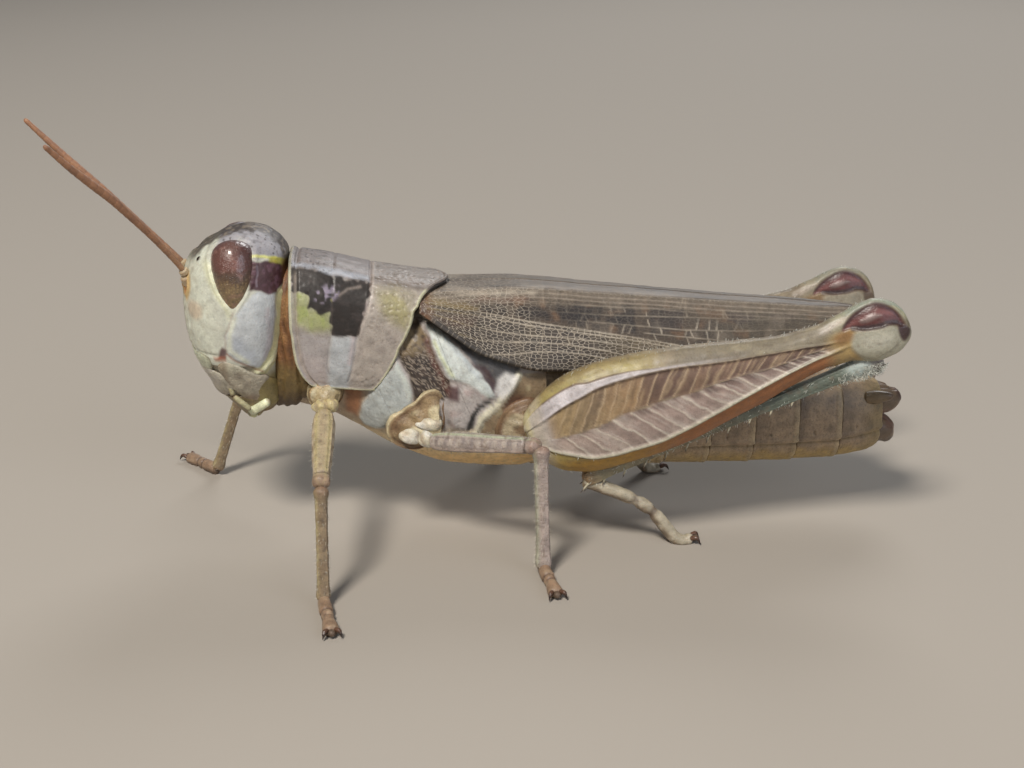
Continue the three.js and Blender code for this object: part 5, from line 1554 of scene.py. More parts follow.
# ---- Jumping legs ----
HIND = {
    "left": dict(hip=(12.7, -3.15, 4.85), knee=(27.3, -3.95, 8.95), ankle=(15.0, -3.05, 2.72),
                 instep=(17.4, -3.2, 1.62), sole=(18.7, -3.3, 0.2), toe=(19.4, -3.35, 0.17)),
    "right": dict(hip=(12.7, 3.15, 4.85), knee=(28.2, 3.75, 8.1), ankle=(15.3, 3.05, 2.55),
                  instep=(17.5, 3.6, 1.5), sole=(18.7, 4.1, 0.2), toe=(19.3, 4.35, 0.17)),
}
club_up = through([0, 0.45], [0.03, 0.92], [0.08, 1.4], [0.15, 1.78], [0.23, 1.9], [0.36, 1.78],
                  [0.48, 1.52], [0.6, 1.2], [0.7, 1.0], [0.77, 1.02], [0.82, 1.2], [0.87, 1.42],
                  [0.915, 1.53], [0.965, 1.25], [1, 0.55])
club_down = through([0, 0.85], [0.03, 1.42], [0.08, 2.0], [0.16, 2.3], [0.29, 2.26], [0.4, 2.06],
                    [0.5, 1.68], [0.6, 1.32], [0.7, 0.87], [0.78, 0.62], [0.83, 0.62], [0.9, 0.92],
                    [0.955, 0.8], [1, 0.3])
club_half = through([0, 0.42], [0.08, 0.75], [0.2, 0.95], [0.45, 0.88], [0.75, 0.6], [0.83, 0.52],
                    [0.92, 0.64], [1, 0.35])
# Lines along the thigh, as shares of its half-depth from its middle, +1 being its upper edge.
upper_keel = through([0.02, 0.4], [0.065, 0.5], [0.1, 0.55], [0.158, 0.6], [0.2, 0.65], [0.265, 0.68],
                     [0.343, 0.7], [0.42, 0.69], [0.52, 0.64], [0.6, 0.62], [0.667, 0.58],
                     [0.717, 0.47], [0.768, 0.28], [0.83, 0.05])
lower_keel = through([0, -0.25], [0.03, -0.3], [0.073, -0.42], [0.119, -0.54], [0.166, -0.64],
                     [0.218, -0.68], [0.323, -0.68], [0.377, -0.64], [0.433, -0.59], [0.488, -0.54],
                     [0.544, -0.46], [0.599, -0.37], [0.654, -0.3], [0.708, -0.25], [0.8, -0.23])
band_top = through([0, 0.8], [0.084, 0.85], [0.154, 0.85], [0.192, 0.8], [0.282, 0.8], [0.369, 0.76],
                   [0.6, 0.74], [0.8, 0.7])
meeting_line = through([0.05, -0.07], [0.136, -0.04], [0.205, -0.01], [0.238, 0.05], [0.296, 0.09],
                       [0.375, 0.13], [0.426, 0.11], [0.485, 0.16], [0.563, 0.19], [0.647, 0.14],
                       [0.713, 0.13], [0.8, 0.02])
# The bars' steps along the thigh, and how far each leans along it for its whole height.
UPPER_BAR_STEP, UPPER_BAR_LEAN = 0.035, 0.09
LOWER_BAR_STEP, LOWER_BAR_LEAN = 0.045, 0.1


def build_jumping_thigh(settings, name, side):
    """The flattened club: its outer face has keels above and below, and between them two rows
    of slanting bars that meet in a herringbone; the knee has a lobe and a dark crescent.
    Markings are placed by t along the thigh and by their share of its half-depth."""
    hip, knee = HIND[name]["hip"], HIND[name]["knee"]
    t = spread(0, 1, 330, 0.15)
    length = math.dist(hip, knee)
    close = rounded(t, length, 0.2)
    up, down = club_up(t), club_down(t)
    points, lift, wide = tube([hip, knee], (0, 0, 1), up * close, down * close,
                              club_half(t) * close, t, 220, square=2.3)
    mirrored = points * [1, side, 1]
    outer = ease(-0.05, 0.25, wide * -side)
    at = t[:, None] + 0 * lift
    reach = ((up + down) / 2)[:, None]
    share = (lift * np.where(lift > 0, up[:, None], down[:, None]) - ((up - down) / 2)[:, None]) / reach
    keel_up, keel_down, meet = upper_keel(at), lower_keel(at), meeting_line(at)
    span = ease(0.045, 0.1, at) * ease(0.82, 0.77, at)
    above = ease(0.0, 0.03, share - meet) * ease(keel_up + 0.01, keel_up - 0.03, share)
    below = ease(0.0, 0.03, meet - share) * ease(keel_down - 0.01, keel_down + 0.04, share)
    stray = 0.16 * grain(mirrored, 0.9, 131) + 0.1 * grain(mirrored, 0.3, 132)
    upper_phase = (at - UPPER_BAR_LEAN * (share - meet)) / UPPER_BAR_STEP + stray
    lower_phase = (at + LOWER_BAR_LEAN * (share - meet)) / LOWER_BAR_STEP + stray
    upper_bar = np.abs((upper_phase % 1) - 0.5) * 2
    lower_bar = np.abs((lower_phase % 1) - 0.5) * 2
    upper_cell, lower_cell = (scatter(np.stack([np.floor(phase).astype(np.int64), 0 * at.astype(int),
                                                0 * at.astype(int)], -1), seed)
                              for phase, seed in ((upper_phase, 137), (lower_phase, 138)))
    rows_up, rows_down = above * span * outer, below * span * outer
    keel_u = hump((share - keel_up) * reach, 0.06) * ease(0.02, 0.05, at) * ease(0.84, 0.78, at)
    keel_d = hump((share - keel_down) * reach, 0.055) * ease(0.0, 0.04, at) * ease(0.86, 0.8, at)
    band = ease(keel_up, keel_up + 0.03, share) * ease(band_top(at) + 0.02, band_top(at) - 0.02, share)
    band = band * outer * ease(0.8, 0.7, at)

    height = settings.keel_height * MM * (0.6 * keel_u + keel_d) * outer
    height += 0.05 * band * ease(0.5, 0.3, at)
    height += 0.02 * (rows_up * upper_bar ** 4 + rows_down * lower_bar ** 4)
    height -= 0.05 * (rows_up + rows_down)
    height += 0.04 * (hump(lift - 0.99, 0.05) + hump(lift + 0.99, 0.05)) * ease(0.85, 0.8, at)
    height += (1 - outer) * (0.04 * (keel_u + keel_d)
                             - 0.03 * span * np.abs((upper_phase % 1) - 0.5))
    # The knee's own marks in (t, share): its lobe and the dark crescent over it.
    crescent = [(0.826, 0.42), (0.838, 0.66), (0.862, 0.86), (0.895, 0.93), (0.932, 0.95), (0.962, 0.85),
                (0.979, 0.55), (0.986, 0.15), (0.972, 0.05), (0.963, 0.2), (0.945, 0.24), (0.926, 0.16),
                (0.9, 0.2), (0.876, 0.26), (0.853, 0.42)]
    lens = [(0.872, 0.52), (0.895, 0.62), (0.92, 0.62), (0.936, 0.55), (0.915, 0.5), (0.893, 0.46)]
    lobe = [(0.854, 0.26), (0.876, 0.22), (0.9, 0.17), (0.923, 0.1), (0.94, 0.2), (0.956, 0.14),
            (0.962, -0.1), (0.961, -0.42), (0.943, -0.64), (0.919, -0.7), (0.899, -0.83), (0.869, -0.8),
            (0.842, -0.44), (0.843, -0.02)]
    rear = [(0.962, 0.2), (0.982, 0.25), (0.998, -0.1), (0.99, -0.6), (0.974, -0.68), (0.962, -0.35)]
    tawny = [(0.8, 0.3), (0.822, 0.5), (0.856, 0.32), (0.85, -0.02), (0.816, -0.12)]
    knee_x, knee_z = at * length, share * reach

    def to_mm(corners, closed=True):
        """Corners [t, share] as a softened line in mm along the thigh and across it."""
        place, level = softened(corners, closed).T
        return np.stack([place * length, level * (club_up(place) + club_down(place)) / 2], -1)

    crescent, lens, lobe, rear, tawny = (to_mm(line) for line in (crescent, lens, lobe, rear, tawny))
    upper_rim = to_mm([(0.838, 0.6), (0.862, 0.8), (0.895, 0.87), (0.932, 0.89), (0.96, 0.78),
                       (0.975, 0.5)], False)
    lower_rim = to_mm([(0.856, 0.38), (0.878, 0.31), (0.9, 0.26), (0.926, 0.22), (0.946, 0.3),
                       (0.966, 0.26)], False)
    area, line = marks(knee_x, knee_z)
    in_crescent, in_lobe = area(crescent, 0.07), area(lobe, 0.1)
    height -= 0.08 * in_crescent
    height += 0.04 * area(lens, 0.1)
    height += 0.05 * in_lobe + 0.03 * line(lobe[2:18], 0.04, 0.06)
    height += 0.01 * grain(mirrored, 0.25, 133) - 0.006 * pits(mirrored, 0.16, 134) * (1 - 0.7 * span * outer)

    coat = Coat(points, "#857660", 0.42)
    margin = ease(band_top(at) - 0.01, band_top(at) + 0.03, share)
    coat.lay("#9a8c50", ease(0.42, 0.28, at) * margin * 0.95)
    coat.lay("#7f6f3e", ease(0.42, 0.3, at) * margin * blotch(mirrored, 0.35, 139) * 0.6)
    coat.lay("#7d6b4c", ease(0.42, 0.3, at) * margin * hump(share - 0.99, 0.06) * 0.6)
    ridge = ease(0.34, 0.46, at) * ease(keel_up, keel_up + 0.05, share)
    coat.lay("#786e5a", ridge)
    coat.lay("#8c826a", ridge * blotch(mirrored * [0.3, 1, 1], 0.25, 140, -0.1, 0.5) * 0.7)
    coat.lay("#64594a", ridge * blotch(mirrored * [0.3, 1, 1], 0.3, 145, 0.1) * 0.5)
    # The pale band under the upper keel is partly its own pale colour and partly a painted highlight, and its
    # lighter blotches near the root are painted highlight.
    coat.lay("#b0a9aa", band * ease(0.62, 0.3, at) * 0.95)
    coat.lay("#ccc6c8", band * ease(0.34, 0.1, at) * blotch(mirrored, 0.5, 143, -0.4, 0.4) * 0.8, 0.25)
    coat.lay("#6f5a4a", hump((share - band_top(at)) * reach, 0.045) * outer * ease(0.03, 0.08, at)
             * ease(0.34, 0.22, at) * 0.75)
    coat.lay("#c4bcbc", ease(0.11, 0.05, at) * ease(-0.5, -0.2, share) * ease(0.7, 0.5, share) * outer * 0.75)
    # Fine streaks that run the way the bars do.
    up_streak = grain(np.stack([upper_phase * 3.1, share * 1.5, 0 * at], -1), 0.5, 146)
    down_streak = grain(np.stack([lower_phase * 3.1, share * 1.5, 0 * at], -1), 0.5, 147)
    coat.lay("#775f50", rows_up)
    coat.lay("#9c8058", rows_up * ease(0.5, 0.15, at + 0.1 * grain(mirrored, 0.6, 135)) * 0.75)
    coat.lay("#554038", rows_up * ease(0.35, 0.9, upper_cell) * 0.7)
    # Darker just above the bars' meeting line: painted shade round the herringbone's vertex.
    coat.lay("#4e3b35", rows_up * hump((share - meet - 0.12) * reach, 0.2) * ease(0.3, 0.7, at) * 0.4)
    coat.lay("#533f37", rows_up * ease(0.1, 0.7, up_streak) * 0.35)
    coat.lay("#a38e70", rows_up * ease(0.1, 0.7, -up_streak) * 0.4)
    coat.lay("#a99e78", rows_up * ease(0.3, 0.1, at) * 0.25)
    coat.lay("#b29c7f", rows_up * ease(0.78, 0.96, upper_bar) * (0.5 + 0.35 * upper_cell))
    coat.lay("#a28f86", rows_down)
    coat.lay("#a99b91", rows_down * ease(0.3, 0.0, (share - keel_down)) * 0.8)
    coat.lay("#86726a", rows_down * ease(0.4, 0.9, lower_cell) * 0.5)
    # Darker near the meeting line, between the lower bars' ridges: painted shade in the grooves.
    coat.lay("#54423c", rows_down * hump((share - meet + 0.08) * reach, 0.2) * ease(0.85, 0.45, lower_bar)
             * (0.4 + 0.6 * lower_cell) * ease(0.1, 0.2, at))
    coat.lay("#b8a89c", rows_down * ease(0.34, 0.2, at) * 0.45)
    coat.lay("#7d6a62", rows_down * ease(0.1, 0.7, down_streak) * 0.35)
    coat.lay("#bdb2a8", rows_down * ease(0.1, 0.7, -down_streak) * 0.4)
    coat.lay("#c6bcae", rows_down * ease(0.77, 0.95, lower_bar) * (0.65 + 0.3 * lower_cell))
    coat.lay("#4d3c36", hump((share - keel_up + 0.015) * reach, 0.04) * outer * span
             * blotch(mirrored, 0.12, 144, -0.5, 0.3) * 0.85)
    coat.lay("#a3a18c", keel_d * outer * 0.9)
    under = ease(keel_down - 0.03, keel_down - 0.07, share) * outer
    coat.lay("#a99656", under * ease(0.22, 0.1, at) * 0.9)
    coat.lay("#a17c34", under * ease(0.45, 0.25, at) * ease(0.02, 0.12, at) * ease(-0.55, -0.75, share))
    coat.lay("#945c30", under * ease(0.2, 0.42, at) * ease(0.86, 0.76, at) * 0.9)
    coat.lay("#74462c", ease(-0.94, -0.99, share) * ease(0.1, 0.3, at) * 0.6)
    coat.lay("#cbc199", hump(at - 0.012, 0.012) * 0.9)
    coat.lay("#b5aa96", ease(0.07, 0.04, at) * ease(0.02, 0.03, at) * 0.6)
    coat.lay("#9a8252", ease(0.76, 0.82, at) * ease(0.9, 0.85, at) * ease(0.7, 0.3, share) * 0.9)
    coat.lay("#9a987e", ease(0.78, 0.84, at) * ease(0.35, 0.7, share) * 0.9)
    # A light pinkish band on the upper margin before the knee: a painted highlight.
    coat.lay("#b5a89c", ease(0.76, 0.8, at) * ease(0.87, 0.83, at) * hump(share - 0.8, 0.12) * 0.7)
    coat.lay("#a8a490", ease(0.85, 0.88, at) * ease(0.2, -0.1, share))
    coat.lay("#8f9484", ease(0.86, 0.9, share) * ease(0.83, 0.86, at))
    coat.lay("#9f9c8b", in_lobe)
    coat.lay("#b9b6a7", area(to_mm([(0.86, 0.12), (0.92, 0.02), (0.945, -0.15), (0.93, -0.42),
                                    (0.88, -0.35)]), 0.25) * 0.8)
    coat.lay("#8f8a74", in_lobe * ease(-0.45, -0.8, share) * 0.8)
    coat.lay("#845830", area(tawny, 0.16) * 0.6)
    coat.lay(settings.crescent_colour, in_crescent, 0.3)
    # A pinkish band along the crescent: a painted highlight.
    coat.lay("#85504c", 0.6 * in_crescent * hump(share - 0.68 + 1.6 * np.abs(at - 0.925), 0.1) * 0.75)
    coat.lay("#8c7c78", area(lens, 0.1) * 0.85)
    coat.lay("#3a1c1e", line(upper_rim, 0.12, 0.07) * 0.85)
    coat.lay("#332426", line(lower_rim, 0.2, 0.06) * 0.9, 0.3)
    coat.lay("#3a2422", area(rear, 0.08), 0.3)
    coat.lay("#7a6a56", (1 - outer) * (1 - in_crescent) * 0.5)
    coat.lay("#5f5044", 0.3 * blotch(mirrored, 0.12, 136, 0.35, 0.8) * (1 - rows_up - rows_down))
    SKINS[f"hind_thigh_{name}"] = lifted(points, height)
    Form().add(coat, SKINS[f"hind_thigh_{name}"]).finish(
        f"hind_femur_{name}_thigh", finish_named("thigh"), "hind_femur_cuticle", f"hind_femur_{name}")


def build_jumping_shin(name, side):
    """The folded shin, with two rows of spines and two pairs of spurs, and the foot below."""
    joints = HIND[name]
    root = np.array(joints["knee"]) + [-0.95, -0.12 * side, -1.2]
    ankle = joints["ankle"]
    length = math.dist(root, ankle)
    t = spread(0, 1, 240, 0.3)
    girth = through([0, 0.4], [0.05, 0.42], [0.12, 0.34], [0.2, 0.29], [0.6, 0.25], [0.9, 0.27],
                    [0.97, 0.34], [1, 0.3])(t) * rounded(t, length, 0.22)
    points, lift, wide = tube([root, ankle], (0, 0, 1), girth, girth, girth * 0.92, t, 100)
    at = t[:, None]
    ridge = sum(hump(np.abs(a) - 0.74, 0.1) for a in (lift, wide)) * ease(0.08, 0.15, at)
    height = 0.025 * ridge + 0.01 * grain(points, 0.2, 141)
    # Dark teal all over: the shin's own bluish colour, darkened as painted shade where it lies under the
    # thigh.
    coat = Coat(points, "#5f675c", 0.4)
    coat.lay("#b0bab6", ease(0.15, 0.07, at) * 0.9)
    coat.lay("#8f8468", ease(0.35, 0.7, at) * 0.8)
    coat.lay("#8a6a4a", ease(0.93, 1.0, at) * 0.7)
    coat.lay("#5a3b34", hump(at - 0.02, 0.03) * 0.7)
    coat.lay("#6e6252", blotch(points, 0.2, 142, 0.2, 0.7) * 0.5)
    SKINS[f"hind_shin_{name}"] = lifted(points, height)
    form = Form().add(coat, SKINS[f"hind_shin_{name}"])
    for turn in (-2.2, -0.95):
        leg_spines(form, [root, ankle], (0, 0, 1), 0.26, np.linspace(0.3, 0.93, 10), turn, 0.42, 0.05,
                   0.7, "#a39c84", "#2a1a14")
    for turn, size in ((-2.5, 0.55), (-0.6, 0.55), (-1.9, 0.42), (-1.2, 0.42)):
        leg_spines(form, [root, ankle], (0, 0, 1), 0.28, [0.985], turn, size, 0.055, 1.0, "#a39c84",
                   "#2a1a14")
    form.finish(f"hind_tibia_{name}_shin", finish_named("shin"), "hind_tibia_cuticle",
                f"hind_tibia_{name}")
    form = Form()
    build_foot(form, [ankle, joints["instep"], joints["sole"], joints["toe"]],
               ("#a59c88", "#6b5a48", "#bfb6a2"), rows=120)
    form.finish(f"hind_tarsus_{name}_foot", finish_named("shin"), "hind_tibia_cuticle",
                f"hind_tarsus_{name}")


# ---- Hairs ----
HAIR_POINTS, HAIR_ROUGHNESS = 7, 0.5
HAIR_PATCH = 0.003  # of the unwrap's width
THIRDS = (0, 2.094, 4.189)  # of a turn


class Hairs:
    """Fine hairs in the making: each is a bowed cone of three sides, closed at its root."""

    def __init__(self, seed):
        self.random = np.random.default_rng(seed)
        self.points, self.maps, self.count = [], [], 0

    def sprout(self, skin, mask, count, length, lean=0.5, width=0.011):
        """Stands hairs on a grid where the mask allows. Each leaves along the normal, leans
        along the grid's rows, and bows further over towards its tip."""
        rows, cols = skin.shape[:2]
        chance = np.broadcast_to(mask, (rows, cols)).astype(float).ravel()
        pick = self.random.choice(rows * cols, count, p=chance / chance.sum())
        out = normals(skin).reshape(-1, 3)[pick]
        run = np.gradient(skin, axis=0).reshape(-1, 3)[pick]
        run /= np.maximum(np.linalg.norm(run, axis=1, keepdims=True), 1e-9)
        root = skin.reshape(-1, 3)[pick]
        size = length * (0.55 + 0.6 * self.random.random((count, 1)))
        tilt = lean + 0.35 * self.random.standard_normal((count, 1))
        stray = 0.25 * self.random.standard_normal((count, 3))
        way = out + run * tilt + stray
        way /= np.linalg.norm(way, axis=1, keepdims=True)
        far = way + run * 0.5 * np.sign(tilt)
        far /= np.linalg.norm(far, axis=1, keepdims=True)
        one = np.cross(way, [0.31, 0.52, 0.79])
        one /= np.linalg.norm(one, axis=1, keepdims=True)
        two = np.cross(way, one)
        ring = [one * math.cos(a) + two * math.sin(a) for a in THIRDS]
        middle = root + way * size * 0.55
        tip = middle + far * size * 0.45
        base = root - way * 0.02
        self.points.append(np.stack([base + width * r for r in ring]
                                    + [middle + 0.7 * width * r for r in ring] + [tip], 1))
        at = np.stack([(pick % cols) / cols, (pick // cols) / rows], -1) * 0.99
        step = np.array([(0, 0), (1, 0), (0.5, 1), (0, 0.3), (1, 0.3), (0.5, 0.8), (0.5, 0.5)])
        self.maps.append(at[:, None] + step * HAIR_PATCH)
        self.count += count

    def finish(self, name, material, slot, colour):
        """Makes the piece, with a small patch of its unwrap for each hair."""
        first = np.arange(self.count)[:, None, None] * HAIR_POINTS
        quads = first + np.array([[0, 1, 4, 3], [1, 2, 5, 4], [2, 0, 3, 5]])
        tris = first + np.array([[3, 4, 6], [4, 5, 6], [5, 3, 6], [2, 1, 0]])
        mesh, loops = make_mesh(name, np.concatenate(self.points).reshape(-1, 3), quads, tris)
        maps = np.concatenate(self.maps).reshape(-1, 2)
        layer = mesh.uv_layers.new(name="OFBake")
        layer.data.foreach_set("uv", maps[loops].astype(np.float32).ravel())
        count = self.count * HAIR_POINTS
        keep_values(mesh, "tint", "FLOAT_COLOR", "color",
                    np.tile(np.append(linear(colour), 1.0), count))
        keep_values(mesh, "rough", "FLOAT", "value", np.full(count, HAIR_ROUGHNESS))
        return place_piece(mesh, material)


def build_hairs(settings):
    """White fringes under the folded shins, and short pale hairs on the thighs, shins and underside."""
    material = finish_named("hair")
    length = settings.hair_length * MM
    for name, _ in SIDES:
        shin = SKINS[f"hind_shin_{name}"]
        thigh = SKINS[f"hind_thigh_{name}"]
        t = np.linspace(0, 1, shin.shape[0])[:, None]
        low = normals(shin)[..., 2] < 0.1
        hairs = Hairs(201)
        hairs.sprout(shin, low * ease(0.24, 0.04, t), 600, length * 0.6, -0.2)
        hairs.sprout(shin, low * ease(0.02, 0.3, t), 160, length * 0.45, 0.3)
        lean = normals(thigh)[..., 2]
        hairs.sprout(thigh, (lean < -0.75) * 1.0, 150, length * 0.35, 0.5)
        hairs.sprout(thigh, (lean > 0.8) * 1.0, 120, length * 0.25, 0.5)
        hairs.finish(f"hind_leg_hairs_{name}", material, "hind_tibia_cuticle", "#d9dbd2")
        hairs = Hairs(202)
        for pair in ("fore", "mid"):
            for part, count in (("thigh", 110), ("shin", 170)):
                skin = SKINS[f"{pair}_{part}_{name}"]
                t = np.linspace(0, 1, skin.shape[0])[:, None]
                hairs.sprout(skin, ease(0.02, 0.1, t) * (skin[..., 2] > 0.3), count, length * 0.35, 0.6,
                             0.007)
        hairs.finish(f"walking_leg_hairs_{name}", material, "walking_leg_cuticle", "#cfcabc")
    hairs = Hairs(203)
    for part in ("prothorax", "mesothorax", "metathorax"):
        skin = SKINS[part]
        hairs.sprout(skin, (normals(skin)[..., 2] < -0.45) * 1.0, 90, length * 0.35, 0.4, 0.007)
    hairs.finish("underside_hairs", material, "thorax_cuticle", "#cbc6b4")


# ---- Finishes ----
def membrane(name):
    """Leathery wing membrane: the tint, crossed by a net of fine pale veins that stand proud
    where the third number of 'lay' allows it. The net's cells are about 0.2 mm long and
    0.14 mm deep, and its veins are drawn 0.03 mm wide, so that they show."""
    material, tree = blank_material(name)
    lay, tint, rough = (read(tree, *wanted) for wanted in (
        ("lay", "Vector"), ("tint", "Color"), ("rough", "Fac")))
    parts = add_node(tree, "ShaderNodeSeparateXYZ", links={"Vector": lay})
    flat = add_node(tree, "ShaderNodeCombineXYZ",
                    links={"X": parts.outputs["X"], "Y": parts.outputs["Y"]}).outputs["Vector"]
    cells = add_node(tree, "ShaderNodeTexVoronoi", {"Scale": 1.0, "Randomness": 0.85},
                     {"Vector": stretched(tree, flat, (4.7, 7.2, 1.0))},
                     feature="DISTANCE_TO_EDGE", voronoi_dimensions="2D")
    line = remapped(tree, cells.outputs["Distance"], 0.11, 0.03, 0.0, 1.0)
    net = add_node(tree, "ShaderNodeMath", operation="MULTIPLY",
                   links={0: line, 1: parts.outputs["Z"]}).outputs["Value"]
    cloud, mottled = mottling(tree, placed_in_mm(tree), tint, 3.5, 0.65, 0.72, 1.28)
    fibre = add_node(tree, "ShaderNodeTexNoise", {"Scale": 1.0, "Detail": 3.0},
                     {"Vector": stretched(tree, flat, (2.0, 22.0, 1.0))}).outputs["Fac"]
    streaked = multiplied(tree, mottled, remapped(tree, fibre, 0.3, 0.7, 0.82, 1.16))
    veined = add_node(tree, "ShaderNodeMix", data_type="RGBA",
                      settings={7: (*linear("#baaf9f"), 1)}, links={0: net, 6: streaked})
    end_tree(tree, {
        "IOR": 1.56, "Specular IOR Level": 0.45, "Subsurface Weight": 0.06,
        "Subsurface Radius": (1.0, 0.7, 0.5), "Subsurface Scale": 0.0002,
        "Coat Weight": 0.1, "Coat Roughness": 0.35,
    }, {"Base Color": veined.outputs[2], "Roughness": plus_product(tree, cloud, 0.25, rough),
        "Normal": bumped(tree, plus_product(tree, net, 1.0, fibre), 0.012)})
    return material


# Each finish starts from the real surface it stands for.
FINISHES = {
    # Cornea over the eye's facets: clear and hard, so it gives a small sharp highlight. Facets
    # of 0.03 mm are drawn at 0.06 mm, so that they show.
    "eye": ("faceted_cornea", dict(mottle=0.14, mottle_mm=0.2, fleck=0.0, pit_mm=0.06,
                                   pit_depth=0.011, grit_depth=0.0008, coat=0.8, coat_rough=0.24,
                                   glow=0.05)),
    # Thick moulded cuticle with a bloom of wax: chalky, and finely pitted.
    "head": ("waxy_pitted_cuticle", dict(mottle=0.18, fleck=0.14, fleck_mm=0.1, pit_mm=0.13,
                                         pit_depth=0.006)),
    # Thin neck skin, soft and folded: dull, and warm where the light comes through it.
    "neck": ("folded_neck_membrane", dict(mottle=0.3, fleck=0.1, coat=0.05, glow=0.25)),
    # Flexible ringed cuticle: satin, warm and a little see-through.
    "antenna": ("ringed_feeler_cuticle", dict(mottle=0.2, fleck=0.15, glow=0.2, pit_depth=0.004)),
    # Tanned jaw and lip cuticle: harder and smoother than the face, so it shines a little more.
    "mouth": ("tanned_mouthpart_cuticle", dict(mottle=0.3, fleck=0.3, coat=0.3, coat_rough=0.25)),
    # The saddle's cuticle: satin, coarsely pitted behind.
    "pronotum": ("satin_pitted_cuticle", dict(mottle=0.2, fleck=0.25, fleck_mm=0.08, pit_mm=0.14,
                                              pit_depth=0.007, coat=0.25)),
    # Side plates: chalky wax over close pits.
    "thorax": ("chalky_side_plate_cuticle", dict(mottle=0.22, fleck=0.2, fleck_mm=0.1, pit_depth=0.007)),
    # Thin abdomen plates: satin, with a faint glow at the pale margins.
    "abdomen": ("thin_abdomen_cuticle", dict(mottle=0.3, fleck=0.35, coat=0.12, glow=0.18)),
    # Dark tanned digging valves: smooth and shiny at the points.
    "tail": ("tanned_valve_cuticle", dict(mottle=0.25, fleck=0.2, coat=0.35, coat_rough=0.22)),
    # Slender legs: satin and finely speckled.
    "leg": ("speckled_leg_cuticle", dict(mottle=0.26, fleck=0.45, fleck_mm=0.07, glow=0.15)),
    # The jumping thigh: smooth satin cuticle with a soft sheen on its keels.
    "thigh": ("satin_thigh_cuticle", dict(mottle=0.2, fleck=0.25, fleck_mm=0.07, pit_mm=0.1,
                                          pit_depth=0.006, coat=0.22)),
    # The shin: like the thigh's, thinner and paler.
    "shin": ("pale_shin_cuticle", dict(mottle=0.22, fleck=0.25, fleck_mm=0.07, glow=0.2)),
    # Hairs of clear cuticle: they catch the light along their length.
    "hair": ("clear_hair_cuticle", dict(mottle=0.1, fleck=0.0, pit_depth=0.0, grit_depth=0.0,
                                        glow=0.0, coat=0.2)),
}


def finish_named(key):
    """The material of a finish, made the first time that it is asked for."""
    name, values = FINISHES[key]
    return bpy.data.materials.get(name) or cuticle(name, **values)


def wing_membrane():
    """The forewing's leathery membrane, made once."""
    return bpy.data.materials.get("leathery_wing_membrane") or membrane("leathery_wing_membrane")


def build_hind_wings():
    """The folded hind wings keep their solids: they lie under the covers and show only as a
    thin, smoky, pleated edge."""
    material, tree = blank_material("pleated_smoky_wing_membrane")
    place = add_node(tree, "ShaderNodeTexCoord").outputs["Object"]
    # Pleats run the length of the wing, about 0.2 mm apart.
    pleat = add_node(tree, "ShaderNodeTexNoise", {"Scale": 1.0, "Detail": 4.0},
                     {"Vector": stretched(tree, place, (400, 5000, 5000))}).outputs["Fac"]
    ramp = add_node(tree, "ShaderNodeValToRGB", links={"Fac": pleat})
    for stop, at, colour in zip(ramp.color_ramp.elements, (0.35, 0.7), ("#3a332d", "#85796a")):
        stop.position = at
        stop.color = (*linear(colour), 1)
    end_tree(tree, {"Roughness": 0.4, "IOR": 1.5, "Coat Weight": 0.1},
             {"Base Color": ramp.outputs["Color"], "Normal": bumped(tree, pleat, 0.04)})
    for side_name, _ in SIDES:
        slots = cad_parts[f"hind_wing_{side_name}"].data.materials
        if len(slots):
            slots[0] = material
        else:
            slots.append(material)


# ---- Stage ----
CAMERA_PLACE, CAMERA_LENS = np.array([8.25, -59.43, 26.2]), 54.84
CAMERA_TURN = (-4, 19)  # degrees round from the left side, and up from level


